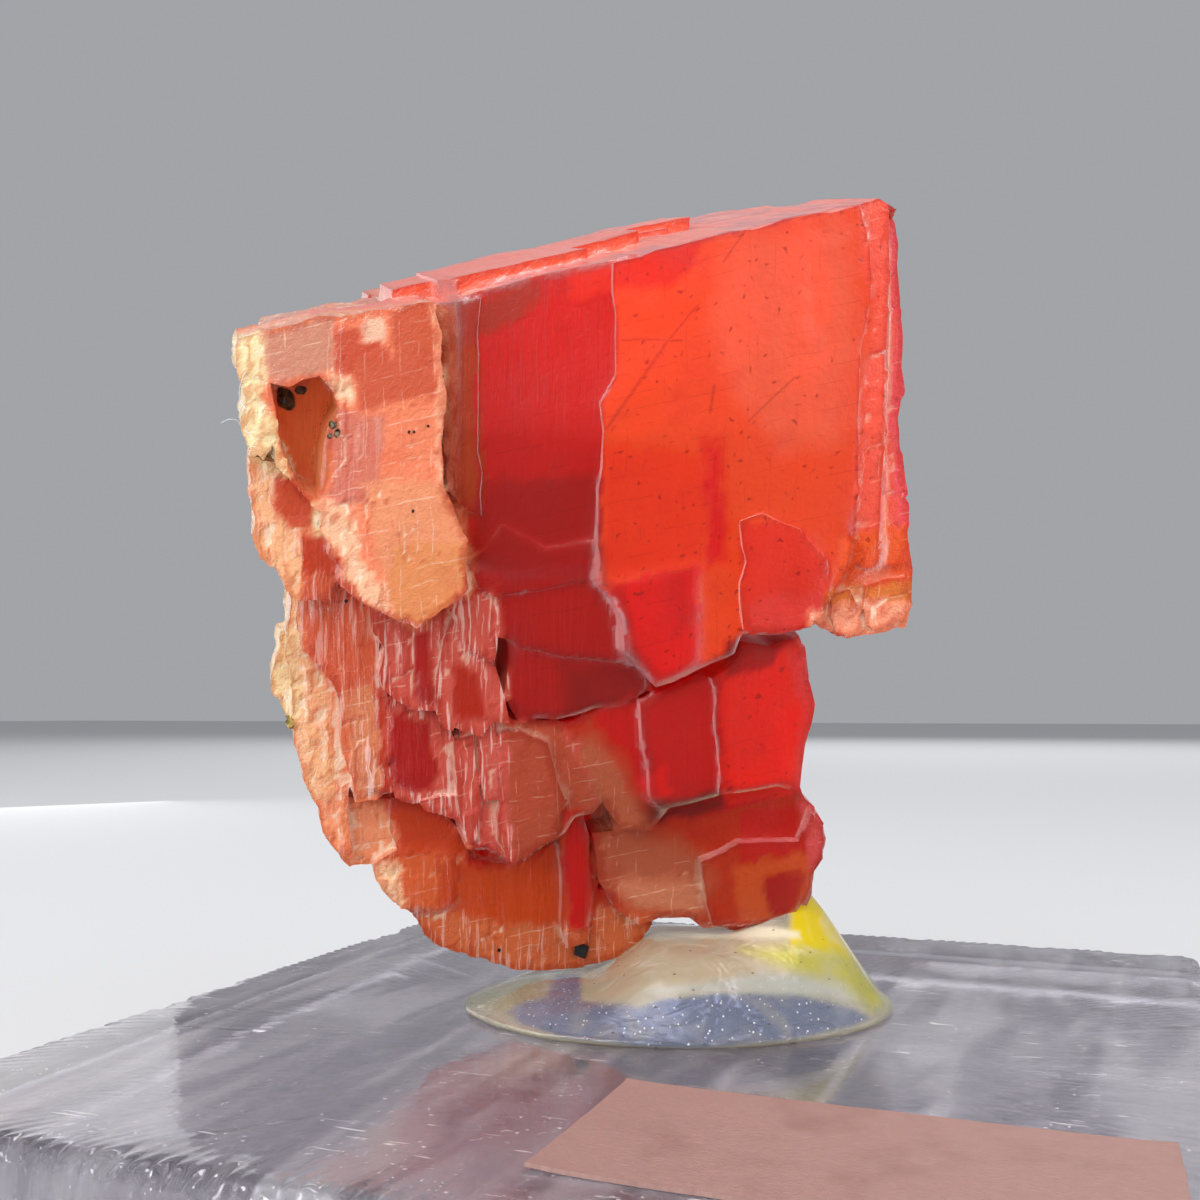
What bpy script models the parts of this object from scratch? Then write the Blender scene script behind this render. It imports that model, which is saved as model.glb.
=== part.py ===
"""Rhodochrosite specimen: a stepped rhombohedral crystal held by glue on a clear square base.

Lengths are in millimetres until a mesh is made, and the origin is the centre of the base's underside.
The crystal was measured from one view. "View space" is the same space turned about Z so that x runs
to the right in that view, y runs away from the eye and z is up.
"""

import math
import random

import bmesh
import bpy
from mathutils import Matrix, Vector

MM = 0.001

# Driving dimensions
BASE_SIDE = 31.75
BASE_THICKNESS = 4.76
BASE_BEVEL = 0.35
LABEL_SIZE = (12.5, 6.1, 0.12)
LABEL_CENTRE = (7.25, -10.35)
GAP = 0.3

# The view in which the outlines were read: where the eye is in view space, and its lens
VIEW_TURN = math.radians(21.36)
EYE = Vector((-2.40, -38.33, 14.05))
EYE_PITCH = math.radians(5.3)
FOCAL_PIXELS = 1206
PICTURE_CENTRE = 600

# The crystal's front plane leans towards the eye. This is its y at the height FRONT_TOP_Z
FRONT_Y = -5.6
FRONT_TOP_Z = 30.0
LEAN = math.radians(9)

# A rhodochrosite cleavage rhombohedron: the top edge's rise in the view, and the way its edges run back
TOP_EDGE_RISE = math.radians(12.3)
BACKWARD_EDGE = Vector((-0.28, 0.933, 0.225))

# The glue is low at its left end, thicker to the right, and drawn up to a peak beside the crystal
GLUE_CENTRE = (0.05, 1.0)
GLUE_RADII = (6.7, 5.0)
GLUE_HEIGHTS = (0.85, 2.1)
GLUE_RISE = (-2.9, -0.4)
GLUE_PEAK = (3.9, 1.5, 1.8)
GLUE_PEAK_SPREAD = (1.5, 2.5)
GLUE_RIM = 0.2
SEAT_VOXEL = 0.55
SEAT_GROWTH = 0.5

RAGGED_PITCH = 26
RAGGED_AMOUNT = 3.0

# Layers of the crystal. Each is an outline in picture points and its front and back depth behind the
# front plane. The first ones are the deep masses that all the others grow on.
LAYERS = {
    "upper_middle": (
        [(400, 309), (440, 302), (520, 276), (600, 260), (700, 236), (780, 217), (783, 420),
         (790, 632), (740, 636), (640, 668), (520, 650), (430, 600), (404, 470)],
        1.15, 9.6),
    "upper_left": (
        [(264, 333), (340, 319), (440, 303), (452, 470), (440, 610), (345, 588), (292, 560), (276, 470),
         (268, 400)],
        1.35, 8.0),
    "upper_right": (
        [(740, 227), (800, 214), (858, 204), (862, 420), (858, 552), (829, 596), (806, 626), (750, 633)],
        1.0, 6.4),
    "lower_middle": (
        [(372, 560), (600, 520), (700, 600), (742, 660), (748, 740), (752, 800), (745, 880), (690, 905),
         (600, 925), (500, 930), (440, 915), (412, 860), (396, 760)],
        3.3, 10.0),
    "lower_left": (
        [(302, 560), (420, 560), (470, 700), (470, 880), (420, 890), (384, 866), (344, 822), (320, 740)],
        3.6, 7.6),
    "lower_right": (
        [(600, 620), (742, 640), (796, 652), (806, 700), (796, 760), (806, 812), (812, 850), (800, 888),
         (740, 900), (620, 900)],
        2.4, 7.6),
    "panel": (
        [(238, 337), (262, 331), (300, 323), (340, 317), (380, 311), (418, 303), (434, 301), (440, 340),
         (437, 362), (443, 385), (444, 440), (447, 486), (456, 505), (458, 520), (468, 540), (466, 560),
         (470, 590), (456, 602), (438, 612), (414, 629), (395, 618), (370, 604), (350, 592), (338, 580),
         (344, 570), (328, 556), (331, 545), (322, 530), (324, 512), (300, 493), (288, 478), (276, 462),
         (271, 445), (262, 462), (250, 452), (243, 440), (240, 420), (245, 400), (243, 378), (236, 365),
         (234, 350)],
        0.0, 3.2),
    "panel_edge_plate": (
        [(438, 302), (476, 296), (474, 360), (474, 420), (480, 470), (481, 514), (464, 506), (449, 488),
         (441, 400)],
        0.75, 3.0),
    "flank_upper": (
        [(250, 458), (276, 462), (300, 493), (326, 516), (326, 545), (342, 570), (332, 598), (300, 600),
         (287, 590), (276, 574), (260, 558), (253, 542), (255, 520), (249, 490)],
        1.1, 4.2),
    "bright_face": (
        [(609, 262), (700, 237), (780, 218), (852, 205), (858, 230), (860, 300), (853, 350), (851, 420),
         (853, 470), (846, 520), (844, 560), (830, 598), (815, 621), (800, 630), (770, 635), (742, 634),
         (735, 655), (700, 672), (676, 685), (656, 690), (640, 672), (624, 655), (619, 600), (598, 585),
         (597, 520), (600, 443), (597, 400), (612, 372), (608, 290)],
        0.5, 3.0),
    "bright_block_left": (
        [(604, 584), (640, 575), (697, 561), (700, 600), (702, 640), (699, 667), (676, 682), (656, 689),
         (641, 668), (626, 650), (623, 620)],
        0.33, 2.0),
    "bright_block_right": (
        [(738, 520), (762, 512), (800, 528), (826, 556), (829, 580), (824, 604), (812, 620), (799, 629),
         (774, 632), (744, 631), (741, 600), (746, 560)],
        0.3, 2.0),
    "wing": (
        [(850, 204), (866, 198), (880, 207), (893, 222), (897, 245), (899, 300), (901, 340), (902, 440),
         (905, 480), (907, 530), (908, 562), (858, 566), (848, 520), (850, 420), (852, 340), (855, 250)],
        0.85, 4.0),
    "wing_lobes": (
        [(842, 540), (880, 534), (907, 545), (912, 572), (911, 602), (905, 626), (893, 631), (880, 637),
         (862, 638), (848, 642), (836, 639), (827, 632), (812, 622), (822, 608), (827, 590), (829, 562)],
        1.1, 3.6),
    "wing_lobe_left": (
        [(850, 590), (861, 612), (860, 634), (848, 640), (838, 636), (832, 618), (834, 596)],
        0.92, 2.4),
    "wing_lobe_right": (
        [(866, 586), (906, 578), (909, 602), (902, 622), (880, 633), (868, 630), (864, 606)],
        0.92, 2.4),
    "dark_plate": (
        [(500, 577), (540, 567), (597, 556), (612, 600), (620, 650), (640, 672), (655, 690), (638, 698),
         (600, 708), (560, 720), (520, 724), (506, 700), (510, 660), (500, 620)],
        1.35, 4.6),
    "recess_ledge": (
        [(470, 560), (500, 520), (545, 545), (598, 536), (600, 575), (540, 592), (500, 600), (478, 590)],
        1.0, 3.4),
    "lower_right_lobe": (
        [(741, 642), (770, 646), (800, 636), (805, 650), (809, 680), (815, 704), (812, 720), (806, 745),
         (803, 770), (801, 792), (780, 786), (750, 792), (720, 797), (718, 740), (717, 700), (712, 680),
         (728, 666)],
        0.95, 4.8),
    "mosaic_middle": (
        [(664, 692), (700, 674), (715, 682), (719, 740), (722, 796), (690, 806), (662, 813), (650, 800),
         (642, 740), (640, 703)],
        1.2, 4.6),
    "mosaic_left": (
        [(558, 723), (600, 707), (638, 697), (662, 702), (673, 760), (678, 802), (650, 832), (620, 832),
         (600, 802), (576, 772), (562, 748)],
        1.55, 4.8),
    "shingle_top": (
        [(456, 603), (480, 591), (494, 610), (500, 640), (497, 666), (480, 660), (462, 650), (451, 626)],
        1.05, 3.6),
    "shingle_upper_left": (
        [(370, 600), (395, 614), (414, 626), (440, 611), (457, 603), (455, 640), (460, 664), (441, 712),
         (416, 708), (396, 700), (385, 690), (379, 676), (384, 650), (374, 630)],
        1.3, 4.6),
    "shingle_upper_right": (
        [(452, 618), (470, 654), (498, 668), (506, 700), (512, 730), (496, 722), (480, 740), (460, 729),
         (445, 726), (437, 712), (436, 680), (441, 650)],
        1.15, 4.6),
    "shingle_lower_left": (
        [(387, 696), (415, 706), (438, 713), (451, 728), (461, 760), (459, 802), (448, 796), (425, 799),
         (410, 803), (395, 798), (390, 780), (386, 740)],
        1.75, 4.8),
    "shingle_lower_right": (
        [(461, 728), (490, 714), (520, 722), (560, 720), (566, 746), (581, 776), (601, 802), (591, 815),
         (575, 820), (565, 835), (553, 842), (530, 855), (515, 866), (504, 862), (496, 850), (476, 852),
         (465, 848), (461, 830), (457, 820), (440, 812), (424, 808), (421, 799), (441, 794), (456, 796)],
        1.6, 4.8),
    "ridge_long": (
        [(498, 738), (520, 732), (548, 742), (566, 800), (556, 838), (530, 852), (515, 864), (506, 860),
         (499, 842)],
        1.3, 3.0),
    "ridge_short": (
        [(479, 722), (497, 718), (499, 800), (482, 803)],
        1.4, 3.0),
    "ridge_left": (
        [(455, 742), (473, 738), (480, 802), (477, 846), (466, 844), (459, 806)],
        1.45, 3.0),
    "mid_left_plate": (
        [(300, 566), (330, 558), (346, 577), (351, 592), (373, 606), (379, 640), (385, 680), (389, 700),
         (389, 760), (393, 792), (376, 801), (354, 802), (345, 760), (341, 700), (334, 682), (320, 666),
         (304, 650), (299, 620)],
        1.75, 5.4),
    "flank_lower": (
        [(289, 577), (304, 570), (305, 640), (320, 664), (338, 684), (346, 720), (349, 800), (354, 858),
         (340, 855), (326, 838), (319, 808), (306, 780), (298, 750), (292, 730), (293, 690), (289, 640),
         (291, 610)],
        2.6, 6.4),
    "flank_outer": (
        [(279, 634), (293, 630), (299, 655), (302, 700), (297, 726), (282, 710), (274, 692), (273, 670),
         (277, 650)],
        3.3, 4.4),
    "lobe_left": (
        [(321, 820), (345, 798), (393, 800), (401, 830), (396, 856), (370, 863), (350, 866), (338, 855),
         (325, 838)],
        3.0, 6.6),
    "lobe_left_lower": (
        [(372, 865), (392, 850), (420, 848), (456, 850), (463, 872), (456, 906), (440, 916), (415, 912),
         (400, 907), (385, 895), (376, 880)],
        2.7, 6.8),
    "orange_apron": (
        [(390, 798), (425, 804), (460, 828), (470, 854), (440, 860), (400, 856), (388, 828)],
        2.85, 6.0),
    "bottom_lobe": (
        [(414, 912), (448, 856), (500, 864), (530, 858), (560, 842), (590, 836), (598, 890), (642, 896),
         (652, 924), (641, 940), (625, 955), (600, 965), (575, 970), (540, 972), (510, 968), (490, 960),
         (470, 955), (440, 948), (425, 935)],
        2.8, 7.4),
    "red_ridge": (
        [(566, 816), (584, 812), (591, 838), (592, 900), (586, 944), (566, 950), (562, 900), (558, 846)],
        2.35, 5.0),
    "bottom_right": (
        [(593, 836), (620, 830), (660, 814), (700, 804), (740, 792), (800, 788), (806, 799), (814, 806),
         (823, 822), (826, 838), (822, 856), (813, 870), (812, 895), (800, 924), (770, 929), (740, 935),
         (720, 929), (704, 930), (690, 918), (660, 920), (640, 926), (612, 906), (598, 880)],
        2.3, 7.0),
    "bottom_right_plate": (
        [(702, 862), (740, 842), (798, 840), (812, 812), (821, 824), (823, 838), (820, 854), (811, 868),
         (809, 892), (790, 922), (742, 928), (714, 926), (706, 894)],
        1.95, 4.6),
    "top_plate": (
        [(476, 292), (520, 279), (556, 271), (558, 300), (520, 312), (480, 318)],
        5.2, 9.9),
}
TOP_PLATE_RAISE = 0.4

# The pocket in the panel: its outline in picture points, and how deep it goes
POCKET = [(273, 388), (290, 392), (303, 387), (321, 381), (329, 391), (338, 401), (341, 415), (330, 437),
          (325, 460), (322, 506), (300, 492), (284, 462), (280, 440), (277, 415)]
POCKET_DEPTH = 1.85

# Ledges that finish the sides that the view doesn't reach. Each line of MOSAICS is a mass's back face:
# its left, top, right and bottom in picture points, its depth, and how many ledges go across and down
LEDGE_SEED = 7
MOSAICS = {
    "upper_middle": (404, 296, 778, 640, 9.6, 4, 3),
    "lower_middle": (402, 600, 740, 905, 10.0, 4, 3),
    "upper_left": (276, 345, 402, 572, 8.0, 2, 3),
    "upper_right": (778, 232, 852, 590, 6.4, 1, 4),
    "lower_left": (330, 600, 402, 860, 7.6, 1, 3),
    "lower_right": (744, 660, 800, 880, 7.6, 1, 3),
}
LEDGE_HEIGHTS = (0.2, 1.2)
LEDGE_ROOT = 1.3
SIDE_WALLS = {"left": (410, 350, 880), "right": (772, 250, 620)}
SIDE_LEDGE_ROWS = 6
SIDE_LEDGE_DEPTHS = ((6.2, 2.2), (8.2, 1.6))
TOP_EDGE = ((262, 331), (865, 200))
TOP_PLATES = 7


def clear_scene():
    for thing in list(bpy.data.objects):
        bpy.data.objects.remove(thing, do_unlink=True)


def plain_material(name, colour, roughness, transmission=0.0, ior=1.5):
    made = bpy.data.materials.new(name)
    made.use_nodes = True
    shader = made.node_tree.nodes["Principled BSDF"]
    shader.inputs["Base Color"].default_value = (*colour, 1.0)
    shader.inputs["Roughness"].default_value = roughness
    shader.inputs["Metallic"].default_value = 0.0
    shader.inputs["Transmission Weight"].default_value = transmission
    shader.inputs["IOR"].default_value = ior
    return made


def picture_point(point, depth):
    """The place in view space that a picture point shows, on the plane this far behind the front plane."""
    across = (point[0] - PICTURE_CENTRE) / FOCAL_PIXELS
    down = (point[1] - PICTURE_CENTRE) / FOCAL_PIXELS
    ray = Vector((
        across,
        math.cos(EYE_PITCH) + down * math.sin(EYE_PITCH),
        math.sin(EYE_PITCH) - down * math.cos(EYE_PITCH),
    ))
    slope = math.tan(LEAN)
    plane_y = FRONT_Y + depth + slope * (FRONT_TOP_Z - EYE.z)
    return EYE + ray * ((plane_y - EYE.y) / (ray.y + slope * ray.z))


def crystal_axes():
    """The rhombohedron's three edge directions in view space: along the top edge, upright, and back."""
    lean = Matrix.Rotation(LEAN, 3, "X")
    along = Vector((math.cos(TOP_EDGE_RISE), 0, math.sin(TOP_EDGE_RISE)))
    return lean @ along, lean @ Vector((0, 0, 1)), (lean @ BACKWARD_EDGE).normalized()


def ragged(outline, chance):
    """The outline with its long stretches broken into short uneven ones."""
    made = []
    for index, start in enumerate(outline):
        start = Vector(start)
        end = Vector(outline[(index + 1) % len(outline)])
        run = end - start
        pieces = max(1, round(run.length / RAGGED_PITCH))
        sideways = Vector((-run.y, run.x)).normalized()
        made.append(start)
        for step in range(1, pieces):
            share = (step + chance.uniform(-0.3, 0.3)) / pieces
            made.append(start + run * share + sideways * chance.uniform(-RAGGED_AMOUNT, RAGGED_AMOUNT))
    return made


def prism(name, face, sweep):
    """A closed solid: a flat face of points in view space, swept by a vector."""
    mesh = bpy.data.meshes.new(name)
    shape = bmesh.new()
    near = [shape.verts.new(point) for point in face]
    bottom = shape.faces.new(near)
    swept = bmesh.ops.extrude_face_region(shape, geom=[bottom])
    moved = [item for item in swept["geom"] if isinstance(item, bmesh.types.BMVert)]
    bmesh.ops.translate(shape, vec=sweep, verts=moved)
    bmesh.ops.triangulate(shape, faces=shape.faces[:])
    bmesh.ops.recalc_face_normals(shape, faces=shape.faces[:])
    shape.to_mesh(mesh)
    shape.free()
    made = bpy.data.objects.new(name, mesh)
    bpy.context.collection.objects.link(made)
    made.hide_render = True
    made.display_type = "WIRE"
    return made


def layer(name, outline, front, back, chance):
    _, _, backward = crystal_axes()
    face = [picture_point(point, front) for point in ragged(outline, chance)]
    return prism(name, face, backward * ((back - front) / backward.y))


def behind(point, depth):
    """The place at this depth that is reached from the front plane along the crystal's backward edges."""
    _, _, backward = crystal_axes()
    return picture_point(point, 0) + backward * (depth / backward.y)


def lattice_block(name, corner, lengths):
    """A small rhombohedron with its lower near left corner here, along the crystal's own edges."""
    along, upright, backward = crystal_axes()
    across = along * lengths[0]
    rise = upright * lengths[1]
    return prism(name, [corner, corner + across, corner + across + rise, corner + rise], backward * lengths[2])


def mosaic(name, left, top, right, bottom, depth, columns, rows, chance):
    """Ledges of uneven height that cover one back face."""
    made = []
    width = (right - left) / columns
    height = (bottom - top) / rows
    for index in range(columns * rows):
        column, row = divmod(index, rows)
        low_left = (
            left + width * column + chance.uniform(-7, 7),
            top + height * (row + 1) + chance.uniform(-8, 8),
        )
        corner = behind(low_left, depth - LEDGE_ROOT)
        across = (behind((low_left[0] + width, low_left[1]), depth) - behind(low_left, depth)).length
        rise = (behind((low_left[0], low_left[1] - height), depth) - behind(low_left, depth)).length
        lengths = (
            across * chance.uniform(0.82, 1.12),
            rise * chance.uniform(0.8, 1.05),
            LEDGE_ROOT + chance.uniform(*LEDGE_HEIGHTS),
        )
        made.append(lattice_block(f"{name}_ledge_{index}", corner, lengths))
    return made


def side_ledges(chance):
    """Ledges on the two side walls of the middle masses."""
    along, _, _ = crystal_axes()
    made = []
    for side, (across, top, bottom) in SIDE_WALLS.items():
        for row in range(SIDE_LEDGE_ROWS):
            for depth, length in SIDE_LEDGE_DEPTHS:
                low = top + (bottom - top) * (row + 1) / SIDE_LEDGE_ROWS + chance.uniform(-14, 14)
                proud = chance.uniform(0.25, 1.0)
                corner = behind((across, low), depth + chance.uniform(-0.3, 0.3))
                if side == "left":
                    corner -= along * proud
                lengths = (1.2 + proud, chance.uniform(1.9, 3.4), length * chance.uniform(0.8, 1.1))
                made.append(lattice_block(f"{side}_ledge_{row}_{depth}", corner, lengths))
    return made


def top_plates(chance):
    """Thin parallel layers on the top face."""
    _, upright, _ = crystal_axes()
    start = Vector(TOP_EDGE[0])
    run = Vector(TOP_EDGE[1]) - start
    made = []
    for index in range(TOP_PLATES):
        share = 0.24 + 0.5 * index / TOP_PLATES + chance.uniform(-0.02, 0.02)
        corner = behind(start + run * share, chance.uniform(1.6, 4.6)) - upright * 0.6
        lengths = (chance.uniform(2.0, 4.4), 0.6 + chance.uniform(0.05, 0.3), chance.uniform(2.4, 5.0))
        made.append(lattice_block(f"top_plate_{index}", corner, lengths))
    return made


def ledges():
    chance = random.Random(LEDGE_SEED)
    made = []
    for name, values in MOSAICS.items():
        made += mosaic(name, *values, chance)
    return made + side_ledges(chance) + top_plates(chance)


def evaluated_mesh(thing):
    graph = bpy.context.evaluated_depsgraph_get()
    graph.update()
    return bpy.data.meshes.new_from_object(thing.evaluated_get(graph), depsgraph=graph)


def combined(name, first, others, operation):
    """A mesh object: the first object joined with, or cut by, the others."""
    helpers = bpy.data.collections.new(name + "_helpers")
    for other in others:
        helpers.objects.link(other)
    step = first.modifiers.new("combine", "BOOLEAN")
    step.operand_type = "COLLECTION"
    step.collection = helpers
    step.operation = operation
    step.solver = "EXACT"
    made = bpy.data.objects.new(name, evaluated_mesh(first))
    made.data.name = name
    bpy.context.collection.objects.link(made)
    for thing in [first, *others]:
        bpy.data.objects.remove(thing, do_unlink=True)
    bpy.data.collections.remove(helpers)
    return made


def keep_largest_body(thing):
    """Deletes the loose crumbs that a cut leaves, so that one closed body stays."""
    shape = bmesh.new()
    shape.from_mesh(thing.data)
    left = set(shape.verts)
    bodies = []
    while left:
        body = set()
        edge_of_body = [left.pop()]
        while edge_of_body:
            vert = edge_of_body.pop()
            body.add(vert)
            for edge in vert.link_edges:
                other = edge.other_vert(vert)
                if other in left:
                    left.remove(other)
                    edge_of_body.append(other)
        bodies.append(body)
    largest = max(bodies, key=len)
    crumbs = [vert for vert in shape.verts if vert not in largest]
    bmesh.ops.delete(shape, geom=crumbs, context="VERTS")
    shape.to_mesh(thing.data)
    shape.free()


def crystal():
    chance = random.Random(LEDGE_SEED)
    blocks = {name: layer(name, *values, chance) for name, values in LAYERS.items()}
    blocks["top_plate"].data.transform(Matrix.Translation((0, 0, TOP_PLATE_RAISE)))
    first = blocks.pop("upper_middle")
    whole = combined("crystal_whole", first, [*blocks.values(), *ledges()], "UNION")
    _, _, backward = crystal_axes()
    pocket_face = [picture_point(point, -1) for point in POCKET]
    pocket = prism("pocket", pocket_face, backward * ((POCKET_DEPTH + 1) / backward.y))
    made = combined("rhodochrosite_crystal", whole, [pocket], "DIFFERENCE")
    keep_largest_body(made)
    return made


def dome_height(x, y, share):
    """How high the glue stands above its rim, from its middle (share 0) to the rim (share 1)."""
    low, high = GLUE_HEIGHTS
    left, right = GLUE_RISE
    step = min(1, max(0, (x - left) / (right - left)))
    heap = low + (high - low) * step * step * (3 - 2 * step)
    peak_x, peak_y, peak_height = GLUE_PEAK
    spread = ((x - peak_x) / GLUE_PEAK_SPREAD[0]) ** 2 + ((y - peak_y) / GLUE_PEAK_SPREAD[1]) ** 2
    return (heap * (1 - share**2.5) ** 0.6 + peak_height * math.exp(-spread)) * (1 - share**12)


def glue_dome():
    """The glue before the crystal's seat is cut out of it: a round-edged heap on a flat underside."""
    rings, spokes = 9, 40
    floor = BASE_THICKNESS + GAP
    shape = bmesh.new()
    middle = shape.verts.new((*GLUE_CENTRE, floor + GLUE_RIM + dome_height(*GLUE_CENTRE, 0)))
    loops = []
    for ring in range(1, rings + 1):
        share = math.sin(math.pi / 2 * ring / rings)
        loop = []
        for spoke in range(spokes):
            turn = 2 * math.pi * spoke / spokes
            x = GLUE_CENTRE[0] + GLUE_RADII[0] * share * math.cos(turn)
            y = GLUE_CENTRE[1] + GLUE_RADII[1] * share * math.sin(turn)
            loop.append(shape.verts.new((x, y, floor + GLUE_RIM + dome_height(x, y, share))))
        loops.append(loop)
    foot = [shape.verts.new((vert.co.x, vert.co.y, floor)) for vert in loops[-1]]
    loops.append(foot)
    for index in range(spokes):
        following = (index + 1) % spokes
        shape.faces.new((middle, loops[0][index], loops[0][following]))
        for inner, outer in zip(loops, loops[1:]):
            shape.faces.new((inner[index], outer[index], outer[following], inner[following]))
    shape.faces.new(foot)
    bmesh.ops.recalc_face_normals(shape, faces=shape.faces[:])
    mesh = bpy.data.meshes.new("glue_dome")
    shape.to_mesh(mesh)
    shape.free()
    made = bpy.data.objects.new("glue_dome", mesh)
    bpy.context.collection.objects.link(made)
    return made


def voxel_remesh(thing, size):
    step = thing.modifiers.new("voxel", "REMESH")
    step.mode = "VOXEL"
    step.voxel_size = size


def glue_pad(crystal_object):
    """The dome with a seat for the crystal, GAP or more away from it all round."""
    seat = bpy.data.objects.new("seat", crystal_object.data.copy())
    bpy.context.collection.objects.link(seat)
    voxel_remesh(seat, SEAT_VOXEL)
    grow = seat.modifiers.new("grow", "DISPLACE")
    grow.direction = "NORMAL"
    grow.mid_level = 0.0
    grow.strength = SEAT_GROWTH
    voxel_remesh(seat, SEAT_VOXEL)
    cutter = bpy.data.objects.new("seat_cutter", evaluated_mesh(seat))
    bpy.context.collection.objects.link(cutter)
    bpy.data.objects.remove(seat, do_unlink=True)
    made = combined("glue_pad", glue_dome(), [cutter], "DIFFERENCE")
    keep_largest_body(made)
    return made


def slab(name, size, centre, low, bevel):
    mesh = bpy.data.meshes.new(name)
    shape = bmesh.new()
    bmesh.ops.create_cube(shape, size=1)
    bmesh.ops.scale(shape, vec=size, verts=shape.verts)
    bmesh.ops.translate(shape, vec=(centre[0], centre[1], low + size[2] / 2), verts=shape.verts)
    bmesh.ops.scale(shape, vec=(MM, MM, MM), verts=shape.verts)
    shape.to_mesh(mesh)
    shape.free()
    made = bpy.data.objects.new(name, mesh)
    bpy.context.collection.objects.link(made)
    if bevel:
        edge = made.modifiers.new("edge", "BEVEL")
        edge.width = bevel * MM
        edge.segments = 2
    return made


def place_in_row(thing):
    """From view space in millimetres to the part's own frame in metres."""
    thing.data.transform(Matrix.Scale(MM, 4) @ Matrix.Rotation(VIEW_TURN, 4, "Z"))


def main():
    clear_scene()
    stone = crystal()
    glue = glue_pad(stone)
    place_in_row(stone)
    place_in_row(glue)
    base = slab("acrylic_base", (BASE_SIDE, BASE_SIDE, BASE_THICKNESS), (0, 0), 0, BASE_BEVEL)
    label = slab("blank_label", LABEL_SIZE, LABEL_CENTRE, BASE_THICKNESS + GAP, 0)
    stone.data.materials.clear()
    stone.data.materials.append(plain_material("rhodochrosite", (0.75, 0.06, 0.03), 0.2, 0.4, 1.7))
    glue.data.materials.clear()
    glue.data.materials.append(plain_material("clear_glue", (0.85, 0.82, 0.65), 0.15, 0.9, 1.48))
    base.data.materials.append(plain_material("clear_acrylic", (0.9, 0.9, 0.93), 0.05, 1.0, 1.49))
    label.data.materials.append(plain_material("paper", (0.82, 0.8, 0.78), 0.7))


main()
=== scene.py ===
"""The looks of the rhodochrosite specimen: crystal, glue, clear base, bare label, grains and lint.

Lengths are in millimetres until a mesh is made. "View space" is the row frame turned about Z, with x to
the right, y away from the eye and z up. "Lattice space" has the crystal's own edges as its axes: along
the top edge, upright, and back. Picture points are in a 1200 by 1200 picture taken from the eye.
"""

import math
import random

import bmesh
import bpy
import numpy as np
from mathutils import Matrix, Vector
from mathutils.bvhtree import BVHTree


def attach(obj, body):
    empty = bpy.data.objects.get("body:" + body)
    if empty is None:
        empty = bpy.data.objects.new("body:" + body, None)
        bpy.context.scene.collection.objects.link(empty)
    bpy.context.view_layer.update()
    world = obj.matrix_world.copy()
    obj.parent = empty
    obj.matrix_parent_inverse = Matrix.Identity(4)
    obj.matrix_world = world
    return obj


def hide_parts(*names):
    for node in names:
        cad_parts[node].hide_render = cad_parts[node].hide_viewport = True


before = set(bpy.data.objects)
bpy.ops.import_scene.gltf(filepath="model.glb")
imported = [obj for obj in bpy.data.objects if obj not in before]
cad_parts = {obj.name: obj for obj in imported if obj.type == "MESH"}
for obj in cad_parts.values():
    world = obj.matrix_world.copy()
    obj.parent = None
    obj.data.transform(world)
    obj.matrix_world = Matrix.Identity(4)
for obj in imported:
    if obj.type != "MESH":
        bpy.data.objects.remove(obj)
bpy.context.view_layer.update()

MM = 0.001

# The eye, in view space, and its lens
VIEW_TURN = math.radians(21.36)
EYE = np.array([-2.40, -38.33, 14.05])
EYE_PITCH = math.radians(5.3)
FOCAL_PIXELS = 1206
PICTURE_SIZE = 1200
PICTURE_CENTRE = PICTURE_SIZE / 2
SENSOR = 36.0

# The crystal's lattice and the plane of its front
FRONT_Y = -5.6
FRONT_TOP_Z = 30.0
LEAN = math.radians(9)
TOP_EDGE_RISE = math.radians(12.3)
BACKWARD_EDGE = Vector((-0.28, 0.933, 0.225))

# The crystal's fine mesh: its spacing on the front and how much longer the spacing is in depth
SPACING = 0.125
OCTREE_DEPTH = 8
DEPTH_SQUEEZE = 0.5

# Rounds of smoothing that wear down the steps where the stone is clear, and how far they move a point
# along each lattice direction
WORN_ROUNDS = 3
WORN_SHARE = (0.25, 0.25, 1.0)

# How much lighter the cloudy stone is than its zone's colour, because light spreads in it
CLOUD_GLOW = 0.2

# What a piece's own gloss adds to its colour, as linear light
SHEEN = 0.016

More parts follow.
